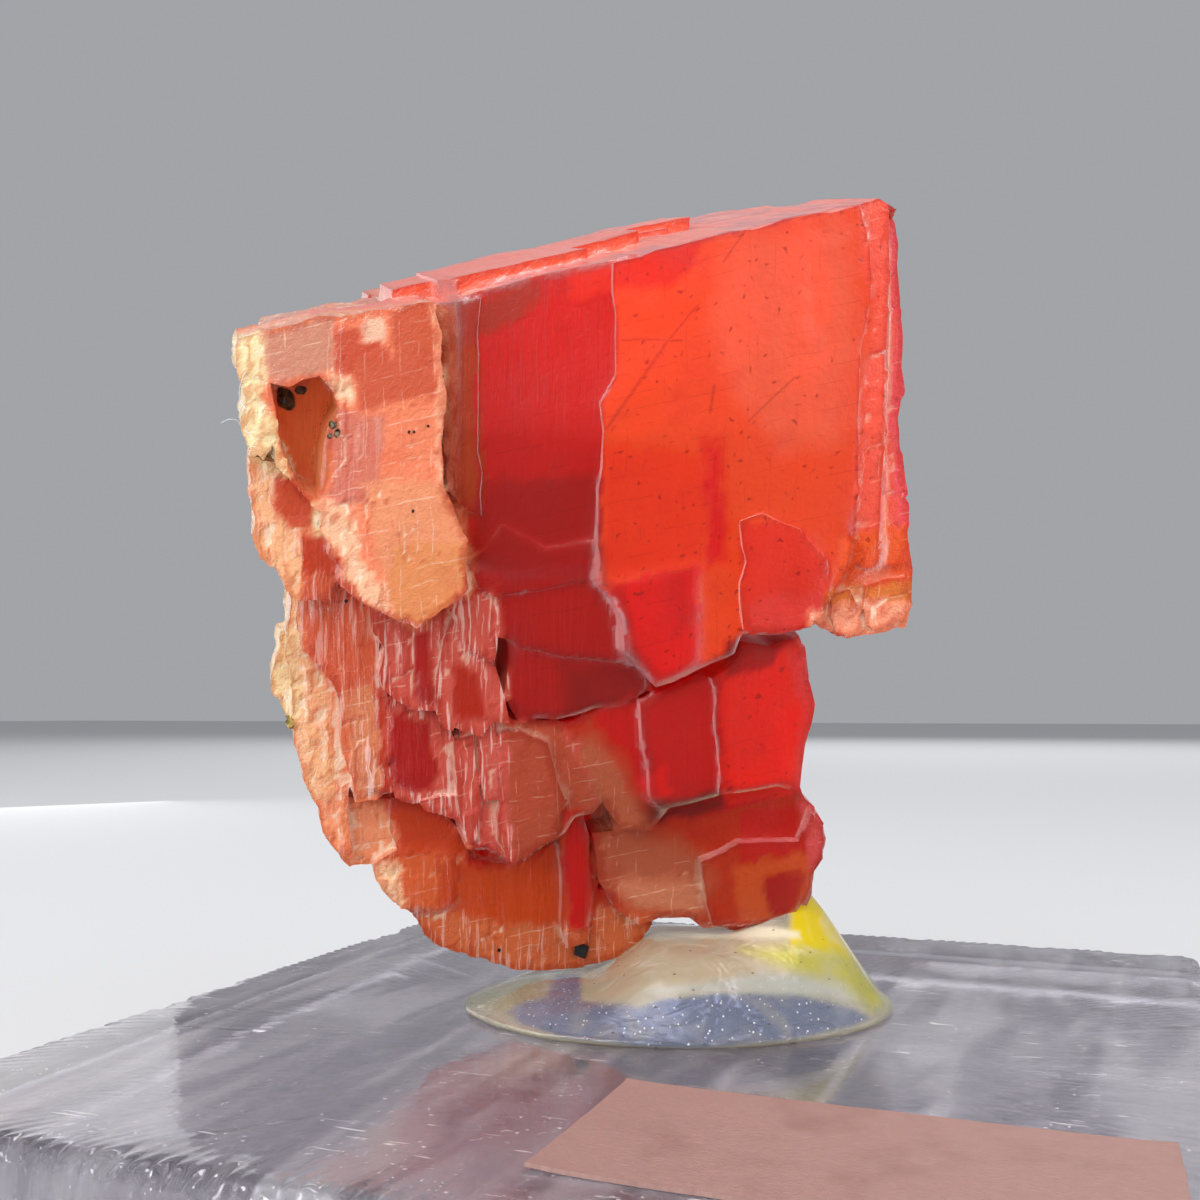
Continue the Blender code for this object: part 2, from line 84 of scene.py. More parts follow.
# Colours by zone, as picture points. Each zone has a colour, how cloudy its stone is, how striated it is,
# the width of its soft edge in pixels, and its outline. Later zones lie over earlier ones.
CORE_COLOUR = (205, 10, 4)
ZONES = {
    "top_face": ((238, 92, 62), 0.45, 0.0, 5,
        [(225, 340), (262, 329), (440, 300), (520, 273), (610, 256), (700, 233), (780, 213), (872, 198),
         (872, 150), (225, 220)]),
    "left_side": ((226, 140, 100), 0.75, 0.5, 6,
        [(180, 325), (440, 300), (445, 440), (470, 560), (470, 600), (500, 640), (490, 720), (470, 860),
         (180, 960)]),
    "flank": ((233, 176, 130), 0.9, 0.6, 6,
        [(180, 325), (262, 331), (270, 400), (285, 470), (300, 560), (300, 640), (330, 700), (345, 850),
         (180, 900)]),
    "panel": ((226, 132, 98), 0.75, 0.25, 4,
        [(262, 331), (440, 301), (446, 480), (470, 560), (470, 592), (414, 630), (345, 590), (322, 512),
         (262, 445)]),
    "panel_haze": ((196, 138, 116), 0.7, 0.1, 7,
        [(262, 331), (330, 320), (330, 372), (300, 378), (275, 388), (262, 370)]),
    "panel_red_top": ((204, 92, 66), 0.5, 0.1, 5,
        [(331, 328), (360, 324), (362, 345), (388, 346), (386, 372), (332, 372)]),
    "panel_red_right": ((206, 100, 70), 0.5, 0.1, 6,
        [(392, 310), (428, 306), (432, 356), (392, 362)]),
    "panel_red_middle": ((207, 101, 72), 0.5, 0.1, 6,
        [(354, 364), (430, 356), (436, 400), (396, 404), (356, 408)]),
    "panel_pink": ((206, 122, 102), 0.65, 0.5, 8,
        [(326, 410), (382, 414), (380, 500), (330, 508)]),
    "panel_lower": ((221, 146, 108), 0.75, 0.3, 8,
        [(360, 480), (450, 480), (468, 545), (466, 590), (414, 626), (380, 560)]),
    "panel_tip": ((216, 142, 94), 0.7, 0.2, 5,
        [(392, 545), (466, 540), (470, 590), (414, 630), (392, 616)]),
    "panel_flake": ((222, 178, 152), 0.9, 0.0, 3,
        [(360, 322), (384, 320), (388, 336), (378, 344), (362, 342)]),
    "pocket_edge": ((240, 200, 164), 1.0, 0.0, 3,
        [(326, 376), (352, 376), (352, 400), (338, 404), (330, 392)]),
    "panel_rim_right": ((228, 164, 132), 0.85, 0.1, 3,
        [(430, 301), (441, 301), (445, 400), (448, 486), (440, 480), (434, 400)]),
    "panel_rim_left": ((243, 214, 164), 1.0, 0.2, 5,
        [(228, 335), (264, 331), (266, 370), (262, 395), (280, 430), (292, 462), (318, 500), (328, 545),
         (350, 590), (400, 622), (388, 626), (340, 588), (322, 556), (300, 500), (262, 470), (230, 440)]),
    "panel_crumbs": ((234, 182, 146), 0.95, 0.1, 6,
        [(322, 500), (350, 500), (360, 560), (388, 585), (392, 615), (340, 585), (322, 550)]),
    "pocket": ((255, 150, 84), 0.2, 0.6, 3,
        [(273, 388), (303, 387), (321, 381), (338, 401), (330, 437), (322, 506), (300, 492), (280, 440)]),
    "flank_orange": ((218, 98, 62), 0.4, 0.2, 5,
        [(276, 482), (296, 478), (314, 500), (312, 526), (290, 528), (274, 514)]),
    "flank_orange_low": ((214, 78, 40), 0.25, 0.3, 5,
        [(298, 536), (322, 534), (340, 560), (342, 580), (300, 572)]),
    "plate_brown": ((168, 66, 36), 0.3, 0.6, 7,
        [(441, 302), (476, 296), (474, 400), (482, 515), (466, 510), (449, 488), (444, 400)]),
    "recess_top": ((206, 30, 12), 0.05, 0.5, 9,
        [(470, 292), (600, 262), (606, 330), (600, 395), (540, 400), (480, 396)]),
    "recess_haze": ((168, 58, 44), 0.15, 0.3, 14,
        [(446, 302), (530, 276), (534, 300), (500, 322), (452, 344)]),
    "recess_low": ((172, 0, 0), 0.0, 0.2, 12,
        [(480, 478), (598, 470), (600, 556), (500, 576), (470, 560)]),
    "bright_face": ((254, 84, 40), 0.1, 0.0, 4,
        [(606, 262), (780, 218), (854, 203), (860, 300), (852, 420), (846, 560), (815, 625), (742, 636),
         (735, 655), (656, 690), (619, 600), (598, 585), (600, 443), (597, 400), (612, 372)]),
    "bright_top_band": ((230, 50, 22), 0.05, 0.1, 9,
        [(560, 268), (700, 235), (690, 262), (664, 284), (606, 290), (560, 300)]),
    # Painted glow: the upper right of the bright face is painted lighter, standing for light shining through
    # the stone there
    "painted_glow_upper_right": ((255, 108, 70), 0.15, 0.0, 22,
        [(720, 240), (840, 225), (846, 330), (836, 440), (780, 450), (730, 400), (700, 330)]),
    "bright_seam": ((232, 34, 8), 0.0, 0.3, 14,
        [(694, 436), (712, 440), (728, 560), (706, 562), (700, 520)]),
    "bright_low": ((250, 66, 26), 0.1, 0.0, 12,
        [(600, 440), (700, 450), (700, 560), (604, 584)]),
    "block_left": ((240, 14, 2), 0.05, 0.1, 4,
        [(606, 584), (697, 562), (702, 640), (699, 667), (656, 689), (641, 668), (623, 620)]),
    "block_left_seam": ((222, 8, 0), 0.0, 0.1, 12,
        [(664, 572), (690, 566), (692, 620), (672, 640)]),
    "block_right": ((232, 62, 46), 0.3, 0.0, 5,
        [(740, 520), (800, 526), (828, 556), (826, 604), (799, 629), (744, 631), (741, 600)]),
    "block_right_low": ((222, 70, 62), 0.4, 0.0, 8,
        [(744, 600), (826, 590), (812, 622), (790, 634), (744, 632)]),
    "wing": ((236, 96, 76), 0.55, 0.1, 6,
        [(852, 195), (900, 195), (930, 560), (858, 566), (848, 500), (850, 420), (858, 300)]),
    "wing_rim": ((228, 92, 98), 0.6, 0.0, 6,
        [(878, 200), (930, 200), (930, 560), (898, 540), (892, 420), (888, 300)]),
    "wing_low": ((234, 98, 52), 0.5, 0.2, 7,
        [(836, 530), (930, 520), (930, 590), (832, 592)]),
    "wing_band": ((212, 122, 62), 0.65, 0.0, 5,
        [(830, 588), (930, 582), (930, 604), (826, 612)]),
    "wing_lobes": ((246, 154, 122), 0.9, 0.0, 4,
        [(806, 608), (930, 600), (930, 660), (806, 660)]),
    "dark_plate": ((188, 4, 0), 0.0, 0.5, 5,
        [(500, 577), (597, 556), (620, 650), (655, 690), (600, 708), (520, 724), (506, 700)]),
    "dark_plate_low": ((150, 0, 0), 0.0, 0.2, 18,
        [(560, 664), (636, 660), (640, 700), (566, 720)]),
    "mosaic_left": ((214, 26, 10), 0.1, 0.4, 7,
        [(558, 723), (638, 697), (640, 800), (600, 802), (576, 772)]),
    "mosaic_middle": ((206, 2, 0), 0.0, 0.1, 5,
        [(638, 697), (664, 690), (715, 682), (722, 796), (662, 830), (650, 800)]),
    "mosaic_bright": ((238, 6, 0), 0.0, 0.0, 5,
        [(636, 776), (668, 770), (670, 800), (640, 806)]),
    "mosaic_shadow": ((120, 14, 8), 0.1, 0.0, 12,
        [(606, 800), (660, 806), (722, 792), (722, 806), (664, 826), (610, 832)]),
    "lower_lobe": ((246, 44, 14), 0.1, 0.1, 5,
        [(716, 690), (741, 642), (800, 636), (815, 704), (803, 792), (722, 800)]),
    # Painted shadow: a darker strip just under the bright face's lower edge, where it overhangs the lower
    # lobe
    "shadow_under_bright_face": ((170, 24, 10), 0.1, 0.0, 7,
        [(728, 640), (800, 636), (770, 660), (724, 676)]),
    "lower_lobe_rim": ((226, 62, 60), 0.35, 0.0, 7,
        [(790, 650), (840, 640), (840, 800), (794, 800), (800, 740)]),
    "bottom_right": ((192, 58, 32), 0.3, 0.2, 6,
        [(593, 836), (660, 822), (800, 790), (840, 800), (840, 900), (790, 940), (690, 930), (600, 905)]),
    "bottom_right_red": ((206, 40, 18), 0.15, 0.0, 5,
        [(742, 812), (806, 802), (806, 850), (740, 866)]),
    "bottom_right_orange": ((208, 88, 46), 0.35, 0.1, 6,
        [(735, 866), (812, 850), (808, 900), (780, 922), (740, 920)]),
    "bottom_right_dark": ((186, 28, 10), 0.1, 0.0, 6,
        [(764, 876), (800, 872), (798, 910), (770, 914)]),
    "grey_haze": ((172, 96, 70), 0.5, 0.2, 26,
        [(590, 726), (620, 760), (650, 830), (700, 850), (712, 880), (690, 905), (630, 900), (596, 870),
         (582, 800), (566, 740)]),
    "grey_haze_low": ((190, 120, 90), 0.65, 0.0, 14,
        [(600, 880), (700, 880), (705, 912), (650, 912), (630, 905)]),
    "rim_pink": ((208, 84, 84), 0.5, 0.0, 4,
        [(798, 792), (840, 792), (840, 870), (806, 872)]),
    "mid_left": ((215, 104, 72), 0.5, 0.9, 5,
        [(300, 566), (346, 577), (373, 606), (389, 700), (393, 792), (354, 802), (341, 700), (304, 650)]),
    "mid_left_low": ((206, 128, 92), 0.7, 0.9, 6,
        [(345, 690), (380, 688), (384, 796), (354, 802)]),
    "mid_left_strip": ((214, 66, 28), 0.15, 0.3, 4,
        [(378, 690), (392, 696), (394, 800), (380, 800)]),
    "shingles": ((200, 92, 80), 0.6, 0.8, 5,
        [(370, 602), (414, 628), (460, 600), (500, 590), (512, 720), (566, 726), (600, 800), (560, 850),
         (512, 868), (420, 812), (388, 800), (384, 700)]),
    "shingles_red_a": ((190, 36, 22), 0.15, 0.3, 4,
        [(414, 634), (428, 632), (434, 700), (424, 706), (416, 680)]),
    "shingles_red_b": ((188, 34, 20), 0.15, 0.4, 4,
        [(392, 712), (430, 716), (436, 770), (428, 790), (394, 786)]),
    "shingles_red_c": ((192, 52, 36), 0.25, 0.5, 4,
        [(452, 668), (482, 676), (486, 716), (456, 720)]),
    "shingles_brown": ((176, 84, 62), 0.5, 0.3, 7,
        [(506, 724), (560, 722), (600, 800), (566, 838), (516, 858), (508, 800)]),
    "flank_outer": ((241, 202, 152), 0.95, 0.4, 4,
        [(260, 625), (300, 628), (300, 726), (260, 730)]),
    "lobe_left": ((231, 150, 108), 0.8, 0.5, 5,
        [(300, 800), (393, 800), (400, 862), (300, 880)]),
    "apron": ((224, 84, 40), 0.25, 0.2, 5,
        [(386, 798), (425, 804), (460, 828), (470, 856), (398, 852)]),
    "bottom_left": ((216, 104, 62), 0.55, 0.4, 6,
        [(360, 866), (398, 850), (456, 850), (464, 900), (440, 925), (380, 925)]),
    "bottom_left_cream": ((235, 182, 140), 0.9, 0.5, 4,
        [(360, 866), (404, 860), (404, 910), (360, 910)]),
    "bottom": ((214, 84, 40), 0.35, 0.7, 6,
        [(440, 858), (510, 866), (566, 838), (592, 850), (594, 905), (560, 930), (440, 925)]),
    "bottom_low": ((196, 104, 66), 0.65, 0.6, 8,
        [(405, 905), (500, 920), (560, 926), (600, 905), (655, 916), (650, 990), (405, 990)]),
    "red_ridge": ((222, 32, 12), 0.1, 0.3, 4,
        [(566, 812), (590, 812), (594, 880), (592, 930), (570, 930), (562, 860)]),
}

# Where pits pepper the stone: they are dug into the mesh, and dark specks painted there stand for their shade
PITTED = [
    [(606, 262), (854, 203), (905, 220), (908, 560), (815, 625), (656, 690), (598, 585)],
    [(716, 690), (741, 642), (800, 636), (815, 704), (803, 792), (722, 800)],
]

# Where the front is almost one plane, so that its steps only show as changes of colour, and how depths
# there are pressed together, in millimetres. It fades out downwards between two heights in the picture.
SHALLOW = [(443, 200), (600, 160), (880, 120), (880, 560), (815, 625), (742, 636), (656, 690), (619, 620),
           (597, 566), (500, 580), (470, 560), (448, 480)]
SHALLOW_DEPTHS = ((0.0, 1.4, 3.2), (0.0, 0.15, 3.2))
SHALLOW_FADE = (600, 430)

# Scratches and fine cracks on the front, as picture points from end to end, with their widths in
# millimetres
SCRATCHES = [
    ((603, 425), (660, 342), 0.05),
    ((660, 342), (692, 304), 0.035),
    ((618, 338), (676, 339), 0.035),
    ((706, 384), (702, 410), 0.045),
    ((716, 262), (738, 230), 0.03),
    ((742, 420), (790, 376), 0.03),
    ((560, 330), (588, 372), 0.04),
]

# The glue's heap, in view space, its foot as rows of share and height, and the zones that tint it, whose
# second and third numbers are how cloudy the glue is and how full of bubbles
GLUE_CENTRE = (0.05, 1.0)
GLUE_RADII = (6.7, 5.0)
GLUE_HEIGHTS = (0.85, 2.1)
GLUE_RISE = (-2.9, -0.4)
GLUE_PEAK = (3.9, 1.5, 1.8)
GLUE_PEAK_SPREAD = (1.5, 2.5)
GLUE_RIM = 0.2
GLUE_SINK = 0.02
GLUE_FOOT = ((0.5, 0.0), (0.95, 0.0), (0.99, 0.0), (1.004, 0.06), (1.008, 0.12))
GLUE_RINGS = 56
GLUE_SPOKES = 260
GLUE_COLOUR = (240, 232, 206)
GLUE_ZONES = {
    # Painted light: these cream zones above the band stand for the light from behind, seen through the glue
    "middle": ((214, 196, 160), 0.6, 0.1, 14,
        [(570, 960), (640, 915), (820, 930), (860, 965), (760, 985), (640, 1000), (570, 1000)]),
    "pale": ((222, 222, 204), 0.5, 0.2, 10,
        [(640, 992), (760, 974), (870, 980), (884, 1006), (820, 996), (700, 992)]),
    "left_end": ((206, 204, 164), 0.35, 0.1, 8,
        [(440, 940), (545, 968), (540, 998), (505, 1012), (440, 1000)]),
    # Painted reflection: a blue-grey band of darker surroundings mirrored in the glue's lower slope
    "reflected_band": ((160, 170, 198), 0.3, 1.0, 5,
        [(508, 1012), (524, 1002), (546, 998), (556, 974), (580, 974), (580, 1002), (640, 1008), (664, 1000),
         (720, 994), (800, 996), (850, 1008), (872, 1018), (850, 1027), (790, 1040), (700, 1049), (640, 1047),
         (560, 1036), (520, 1024)]),
    "yellow": ((246, 216, 6), 0.7, 0.0, 7,
        [(790, 880), (824, 880), (850, 928), (862, 962), (826, 964), (790, 944)]),
    "yellow_fade": ((240, 230, 96), 0.45, 0.1, 16,
        [(740, 950), (800, 948), (852, 954), (892, 1000), (872, 1012), (844, 984), (790, 968)]),
    "contact": ((238, 228, 196), 0.9, 0.0, 4,
        [(632, 920), (668, 908), (700, 912), (708, 930), (760, 926), (800, 932), (800, 938), (700, 938),
         (650, 932)]),
}

# The base, its edge as rows of inset, height and how chipped it is there, and the label on it
BASE_SIDE = 31.75
BASE_THICKNESS = 4.76
BASE_EDGE_POINTS = 300
BEAD_DEPTH = 0.075
BEAD_LENGTH = 0.47
CHIP_DEPTH = 0.3
BASE_PROFILE = (
    (8.0, 0.0, 0.0), (0.7, 0.0, 0.0), (0.2, 0.0, 0.5), (0.06, 0.08, 0.6), (0.0, 0.25, 0.3), (0.0, 1.2, 0.0),
    (0.0, 2.4, 0.0), (0.0, 3.6, 0.0), (0.0, 4.2, 0.1), (0.02, 4.42, 0.6), (0.05, 4.56, 1.0),
    (0.12, 4.67, 1.0), (0.24, 4.74, 0.9), (0.42, 4.76, 0.5), (0.75, 4.76, 0.0), (2.0, 4.76, 0.0),
    (5.0, 4.76, 0.0), (10.0, 4.76, 0.0),
)
LABEL_SIZE = (12.5, 6.1, 0.12)
LABEL_CENTRE = (7.25, -10.35)

# The floor: how far it reaches, in metres, how far under the base it lies, and the bounces of light
FLOOR_REACH = 1.5
FLOOR_GAP = 0.02
LIGHT_BOUNCES = 8

# The middle of the crystal in the picture
PICTURE_MIDDLE = (580, 600)

# Grains in the crystal, as picture points with their width and height there in pixels
DARK_GRAINS = [((286, 400), 17, 24), ((301, 390), 13, 10), ((281, 392), 9, 10)]
METAL_GRAINS = [((333, 425), 9, 10), ((337, 433), 6, 9), ((330, 436), 6, 6)]
BRASSY_GRAINS = [((291, 723), 11, 11), ((287, 718), 6, 6)]
BLACK_CUBES = [((582, 950), 12, 12), ((499, 950), 3, 3)]
BLACK_DOTS = [
    ((409, 432), 3, 4), ((414, 432), 3, 3), ((428, 426), 3, 3), ((413, 511), 3, 4), ((346, 601), 4, 5),
]

# Fibres caught on the left rim: where each is hooked on the stone, its radius, and its picture points
LINT = [
    ((248, 395), 0.014, [(250, 368), (243, 375), (239, 390), (240, 402), (246, 409)]),
    ((248, 420), 0.012, [(221, 423), (229, 419), (238, 420), (243, 430), (250, 434)]),
]


def shade(red, green, blue):
    """A colour given as the eye reads it on a screen, from 0 to 255, as linear light."""
    def linear(value):
        value = value / 255
        return value / 12.92 if value <= 0.04045 else ((value + 0.055) / 1.055) ** 2.4
    return linear(red), linear(green), linear(blue)


# Places and directions

def lattice_axes():
    """The lattice directions in view space, as the columns of a matrix."""
    lean = Matrix.Rotation(LEAN, 3, "X")
    along = lean @ Vector((math.cos(TOP_EDGE_RISE), 0, math.sin(TOP_EDGE_RISE)))
    upright = lean @ Vector((0, 0, 1))
    backward = (lean @ BACKWARD_EDGE).normalized()
    return np.array([along, upright, backward]).T


def view_from_row(points):
    across, back, up = (np.asarray(points, float) / MM).T
    cosine, sine = math.cos(VIEW_TURN), math.sin(VIEW_TURN)
    return np.column_stack([across * cosine + back * sine, back * cosine - across * sine, up])


def row_from_view(points):
    across, back, up = (np.asarray(points, float) * MM).T
    cosine, sine = math.cos(VIEW_TURN), math.sin(VIEW_TURN)
    return np.column_stack([across * cosine - back * sine, back * cosine + across * sine, up])


def picture_from_view(points):
    """Where the eye sees these places, as picture points."""
    across, back, up = (points - EYE).T
    distance = back * math.cos(EYE_PITCH) + up * math.sin(EYE_PITCH)
    height = up * math.cos(EYE_PITCH) - back * math.sin(EYE_PITCH)
    return PICTURE_CENTRE + FOCAL_PIXELS * np.column_stack([across / distance, -height / distance])


def sight_line(point):
    """The direction, in view space, from the eye through a picture point."""
    across = (point[0] - PICTURE_CENTRE) / FOCAL_PIXELS
    down = (point[1] - PICTURE_CENTRE) / FOCAL_PIXELS
    return np.array([
        across,
        math.cos(EYE_PITCH) + down * math.sin(EYE_PITCH),
        math.sin(EYE_PITCH) - down * math.cos(EYE_PITCH),
    ])


def depth_of(points):
    """How far places in view space are behind the crystal's front plane."""
    return points[:, 1] - FRONT_Y + math.tan(LEAN) * (points[:, 2] - FRONT_TOP_Z)


def front_point(point, depth):
    """The place in view space that a picture point shows on the plane this far behind the front."""
    ray = sight_line(point)
    slope = math.tan(LEAN)
    reach = FRONT_Y + depth + slope * (FRONT_TOP_Z - EYE[2]) - EYE[1]
    return EYE + ray * reach / (ray[1] + slope * ray[2])


# Repeatable noise

def hashed(cells, seed):
    """One number from 0 to 1 for each row of whole numbers."""
    mixed = np.full(len(cells), (seed * 2654435761 + 97) % 2**32, dtype=np.uint32)
    for column in cells.T:
        mixed ^= column.astype(np.int64).astype(np.uint32)
        mixed *= np.uint32(2246822519)
        mixed ^= mixed >> np.uint32(13)
        mixed *= np.uint32(3266489917)
        mixed ^= mixed >> np.uint32(16)
    return mixed / 2.0**32


def smooth_noise(points, size, seed):
    """Soft noise from -1 to 1."""
    scaled = points / size
    base = np.floor(scaled)
    share = scaled - base
    share = share * share * (3 - 2 * share)
    total = np.zeros(len(points))
    for corner in np.ndindex(*(2,) * points.shape[1]):
        weight = np.prod(np.where(np.array(corner) == 1, share, 1 - share), axis=1)
        total += weight * hashed(base + np.array(corner), seed)
    return total * 2 - 1


def block_noise(points, size, seed):
    """One number from -1 to 1 for each brick-shaped cell. Columns of cells are shifted against each other."""
    scaled = points / np.array(size)
    columns = np.floor(scaled[:, [0, 2]])
    rows = np.floor(scaled[:, 1] + hashed(columns, seed) * 7)
    return hashed(np.column_stack([columns, rows]), seed + 1) * 2 - 1


# Zones

def inside(points, outline, softness):
    """How far inside an outline each picture point is, from 0 to 1 across its soft edge."""
    ring = np.array(outline, float)
    nearest = np.full(len(points), np.inf)
    within = np.zeros(len(points), bool)
    for start, end in zip(ring, np.roll(ring, -1, axis=0)):
        run = end - start
        offset = points - start
        share = np.clip(offset @ run / (run @ run), 0, 1)
        nearest = np.minimum(nearest, np.linalg.norm(offset - share[:, None] * run, axis=1))
        crosses = (start[1] > points[:, 1]) != (end[1] > points[:, 1])
        edge = start[0] + (points[:, 1] - start[1]) * run[0] / (run[1] if run[1] else 1)
        within ^= crosses & (points[:, 0] < edge)
    return np.clip(np.where(within, nearest, -nearest) / softness + 0.5, 0, 1)


def zone_points(view, lattice):
    """The picture points by which the zones are read. Deep places are carried forward along the lattice."""
    direct = picture_from_view(view)
    depth = depth_of(view)
    backward = lattice_axes()[:, 2]
    carried = picture_from_view(view - np.outer(depth / backward[1], backward))
    share = np.clip((depth - 3.6) / 2.0, 0, 1)[:, None]
    mixed = direct * (1 - share) + carried * share
    jag = np.column_stack([
        block_noise(lattice, (0.5, 0.9, 1.4), 11) * 3.2 + block_noise(lattice, (0.22, 0.4, 0.6), 13) * 2.0,
        block_noise(lattice, (0.7, 0.6, 1.4), 12) * 3.2 + block_noise(lattice, (0.3, 0.25, 0.6), 14) * 2.0,
    ])
    return mixed + jag * (1 + 2 * share)


def paint(points, colour, cloudy, striated, zones):
    """Colour, cloudiness and striation by zone for each picture point, over the values between the zones."""
    colour = np.tile(shade(*colour), (len(points), 1))
    cloudy = np.full(len(points), cloudy)
    striated = np.full(len(points), striated)
    for tint, cloud, stria, softness, outline in zones.values():
        share = inside(points, outline, softness)
        colour += (np.array(shade(*tint)) - colour) * share[:, None]
        cloudy += (cloud - cloudy) * share
        striated += (stria - striated) * share
    return np.clip(colour - SHEEN, 0.001, 1), cloudy, striated


def paint_zones(view, lattice):
    """The crystal's colour, cloudiness and striation for every vertex, and how pitted it is."""
    points = zone_points(view, lattice)
    pitted = np.zeros(len(points))
    for outline in PITTED:
        pitted = np.maximum(pitted, inside(points, outline, 12))
    colour, cloudy, striated = paint(points, CORE_COLOUR, 0.05, 0.25, ZONES)
    glow = 1 + CLOUD_GLOW * np.clip((cloudy - 0.2) / 0.6, 0, 1)
    return np.clip(colour * glow[:, None], 0.001, 0.93), cloudy, striated, pitted


# Meshes

def link(name, mesh):
    made = bpy.data.objects.new(name, mesh)
    bpy.context.scene.collection.objects.link(made)
    return made


def evaluated_mesh(thing):
    graph = bpy.context.evaluated_depsgraph_get()
    graph.update()
    return bpy.data.meshes.new_from_object(thing.evaluated_get(graph), depsgraph=graph)


def mesh_points(mesh):
    flat = np.empty(len(mesh.vertices) * 3)
    mesh.vertices.foreach_get("co", flat)
    return flat.reshape(-1, 3)


def set_points(mesh, points):
    mesh.vertices.foreach_set("co", np.ascontiguousarray(points, dtype=np.float32).ravel())
    mesh.update()


def add_values(mesh, name, values):
    """Stores one number, vector or colour for every vertex."""
    if values.ndim == 1:
        layer = mesh.attributes.new(name, "FLOAT", "POINT")
        layer.data.foreach_set("value", values.astype(np.float32))
    else:
        layer = mesh.attributes.new(name, "FLOAT_VECTOR", "POINT")
        layer.data.foreach_set("vector", values.astype(np.float32).ravel())


def neighbours_mean(mesh, points, rounds):
    """Each vertex's place after this many rounds of averaging with its neighbours."""
    ends = np.empty(len(mesh.edges) * 2, dtype=np.int64)
    mesh.edges.foreach_get("vertices", ends)
    first, second = ends.reshape(-1, 2).T
    count = np.bincount(ends, minlength=len(points))[:, None]
    for _ in range(rounds):
        total = np.column_stack([
            np.bincount(first, points[second, axis], len(points))
            + np.bincount(second, points[first, axis], len(points))
            for axis in range(3)
        ])
        points = total / count
    return points


def vertex_normals(mesh):
    flat = np.empty(len(mesh.vertices) * 3)
    mesh.vertex_normals.foreach_get("vector", flat)
    return flat.reshape(-1, 3)


# The crystal

def even_mesh(source):
    """The crystal's CAD shape as an even mesh in lattice space, whose edges follow the lattice."""
    axes = np.linalg.inv(lattice_axes())
    points = view_from_row(mesh_points(source.data)) @ axes.T
    points[:, 2] *= DEPTH_SQUEEZE
    coarse = source.data.copy()
    set_points(coarse, points)
    carrier = link("crystal_carrier", coarse)
    step = carrier.modifiers.new("even", "REMESH")
    step.mode = "SHARP"
    step.octree_depth = OCTREE_DEPTH
    step.scale = np.ptp(points, axis=0).max() / (SPACING * 2**OCTREE_DEPTH)
    step.sharpness = 1.0
    step.use_remove_disconnected = True
    made = evaluated_mesh(carrier)
    bpy.data.objects.remove(carrier, do_unlink=True)
    return made


def relief(lattice, cloudy, striated, pitted):
    """How far each vertex moves along the three lattice directions to make steps, striae and pits."""
    crumbly = np.clip((cloudy - 0.62) / 0.38, 0, 1) ** 1.5
    patchy = 0.5 + 0.5 * smooth_noise(lattice, 1.6, 24)
    wavy = lattice + 0.1 * np.column_stack([smooth_noise(lattice, 0.9, seed) for seed in (21, 22, 23)])
    moved = np.zeros_like(lattice)
    for size, amount, share, seed in (
        ((1.7, 2.9, 2.4), 0.05, 0.35 + 0.65 * cloudy, 31),
        ((0.8, 1.3, 1.2), 0.05, (0.15 + 0.85 * cloudy) * patchy, 41),
        ((0.34, 2.1, 0.9), 0.06, striated * (0.3 + 0.7 * cloudy), 51),
        ((0.28, 0.42, 0.5), 0.055, crumbly, 81),
    ):
        for axis in range(3):
            moved[:, axis] += amount * share * block_noise(wavy, size, seed + 2 * axis)
    fine = smooth_noise(lattice * np.array([1, 0.16, 0.6]), 0.24, 61)
    moved[:, 2] += 0.045 * striated * (0.4 + 0.6 * cloudy) * fine
    for axis in range(3):
        moved[:, axis] += 0.07 * crumbly * smooth_noise(lattice, 0.3, 63 + axis)
        moved[:, axis] += 0.07 * smooth_noise(lattice, 2.6, 71 + axis)
    holes = np.clip(smooth_noise(lattice, 0.4, 67) - 0.5, 0, 1)
    moved[:, 2] += pitted * 0.14 * holes
    return moved


def pressed(view):
    """How far, along the backward edge, places in the shallow part of the front move forward."""
    depth = depth_of(view)
    level = np.where((depth > 0) & (depth < SHALLOW_DEPTHS[0][-1]), np.interp(depth, *SHALLOW_DEPTHS), depth)
    backward = lattice_axes()[:, 2]
    rate = backward[1] + math.tan(LEAN) * backward[2]
    points = picture_from_view(view)
    low, high = SHALLOW_FADE
    share = inside(points, SHALLOW, 12) * np.clip((low - points[:, 1]) / (low - high), 0, 1)
    return share * (depth - level) / rate


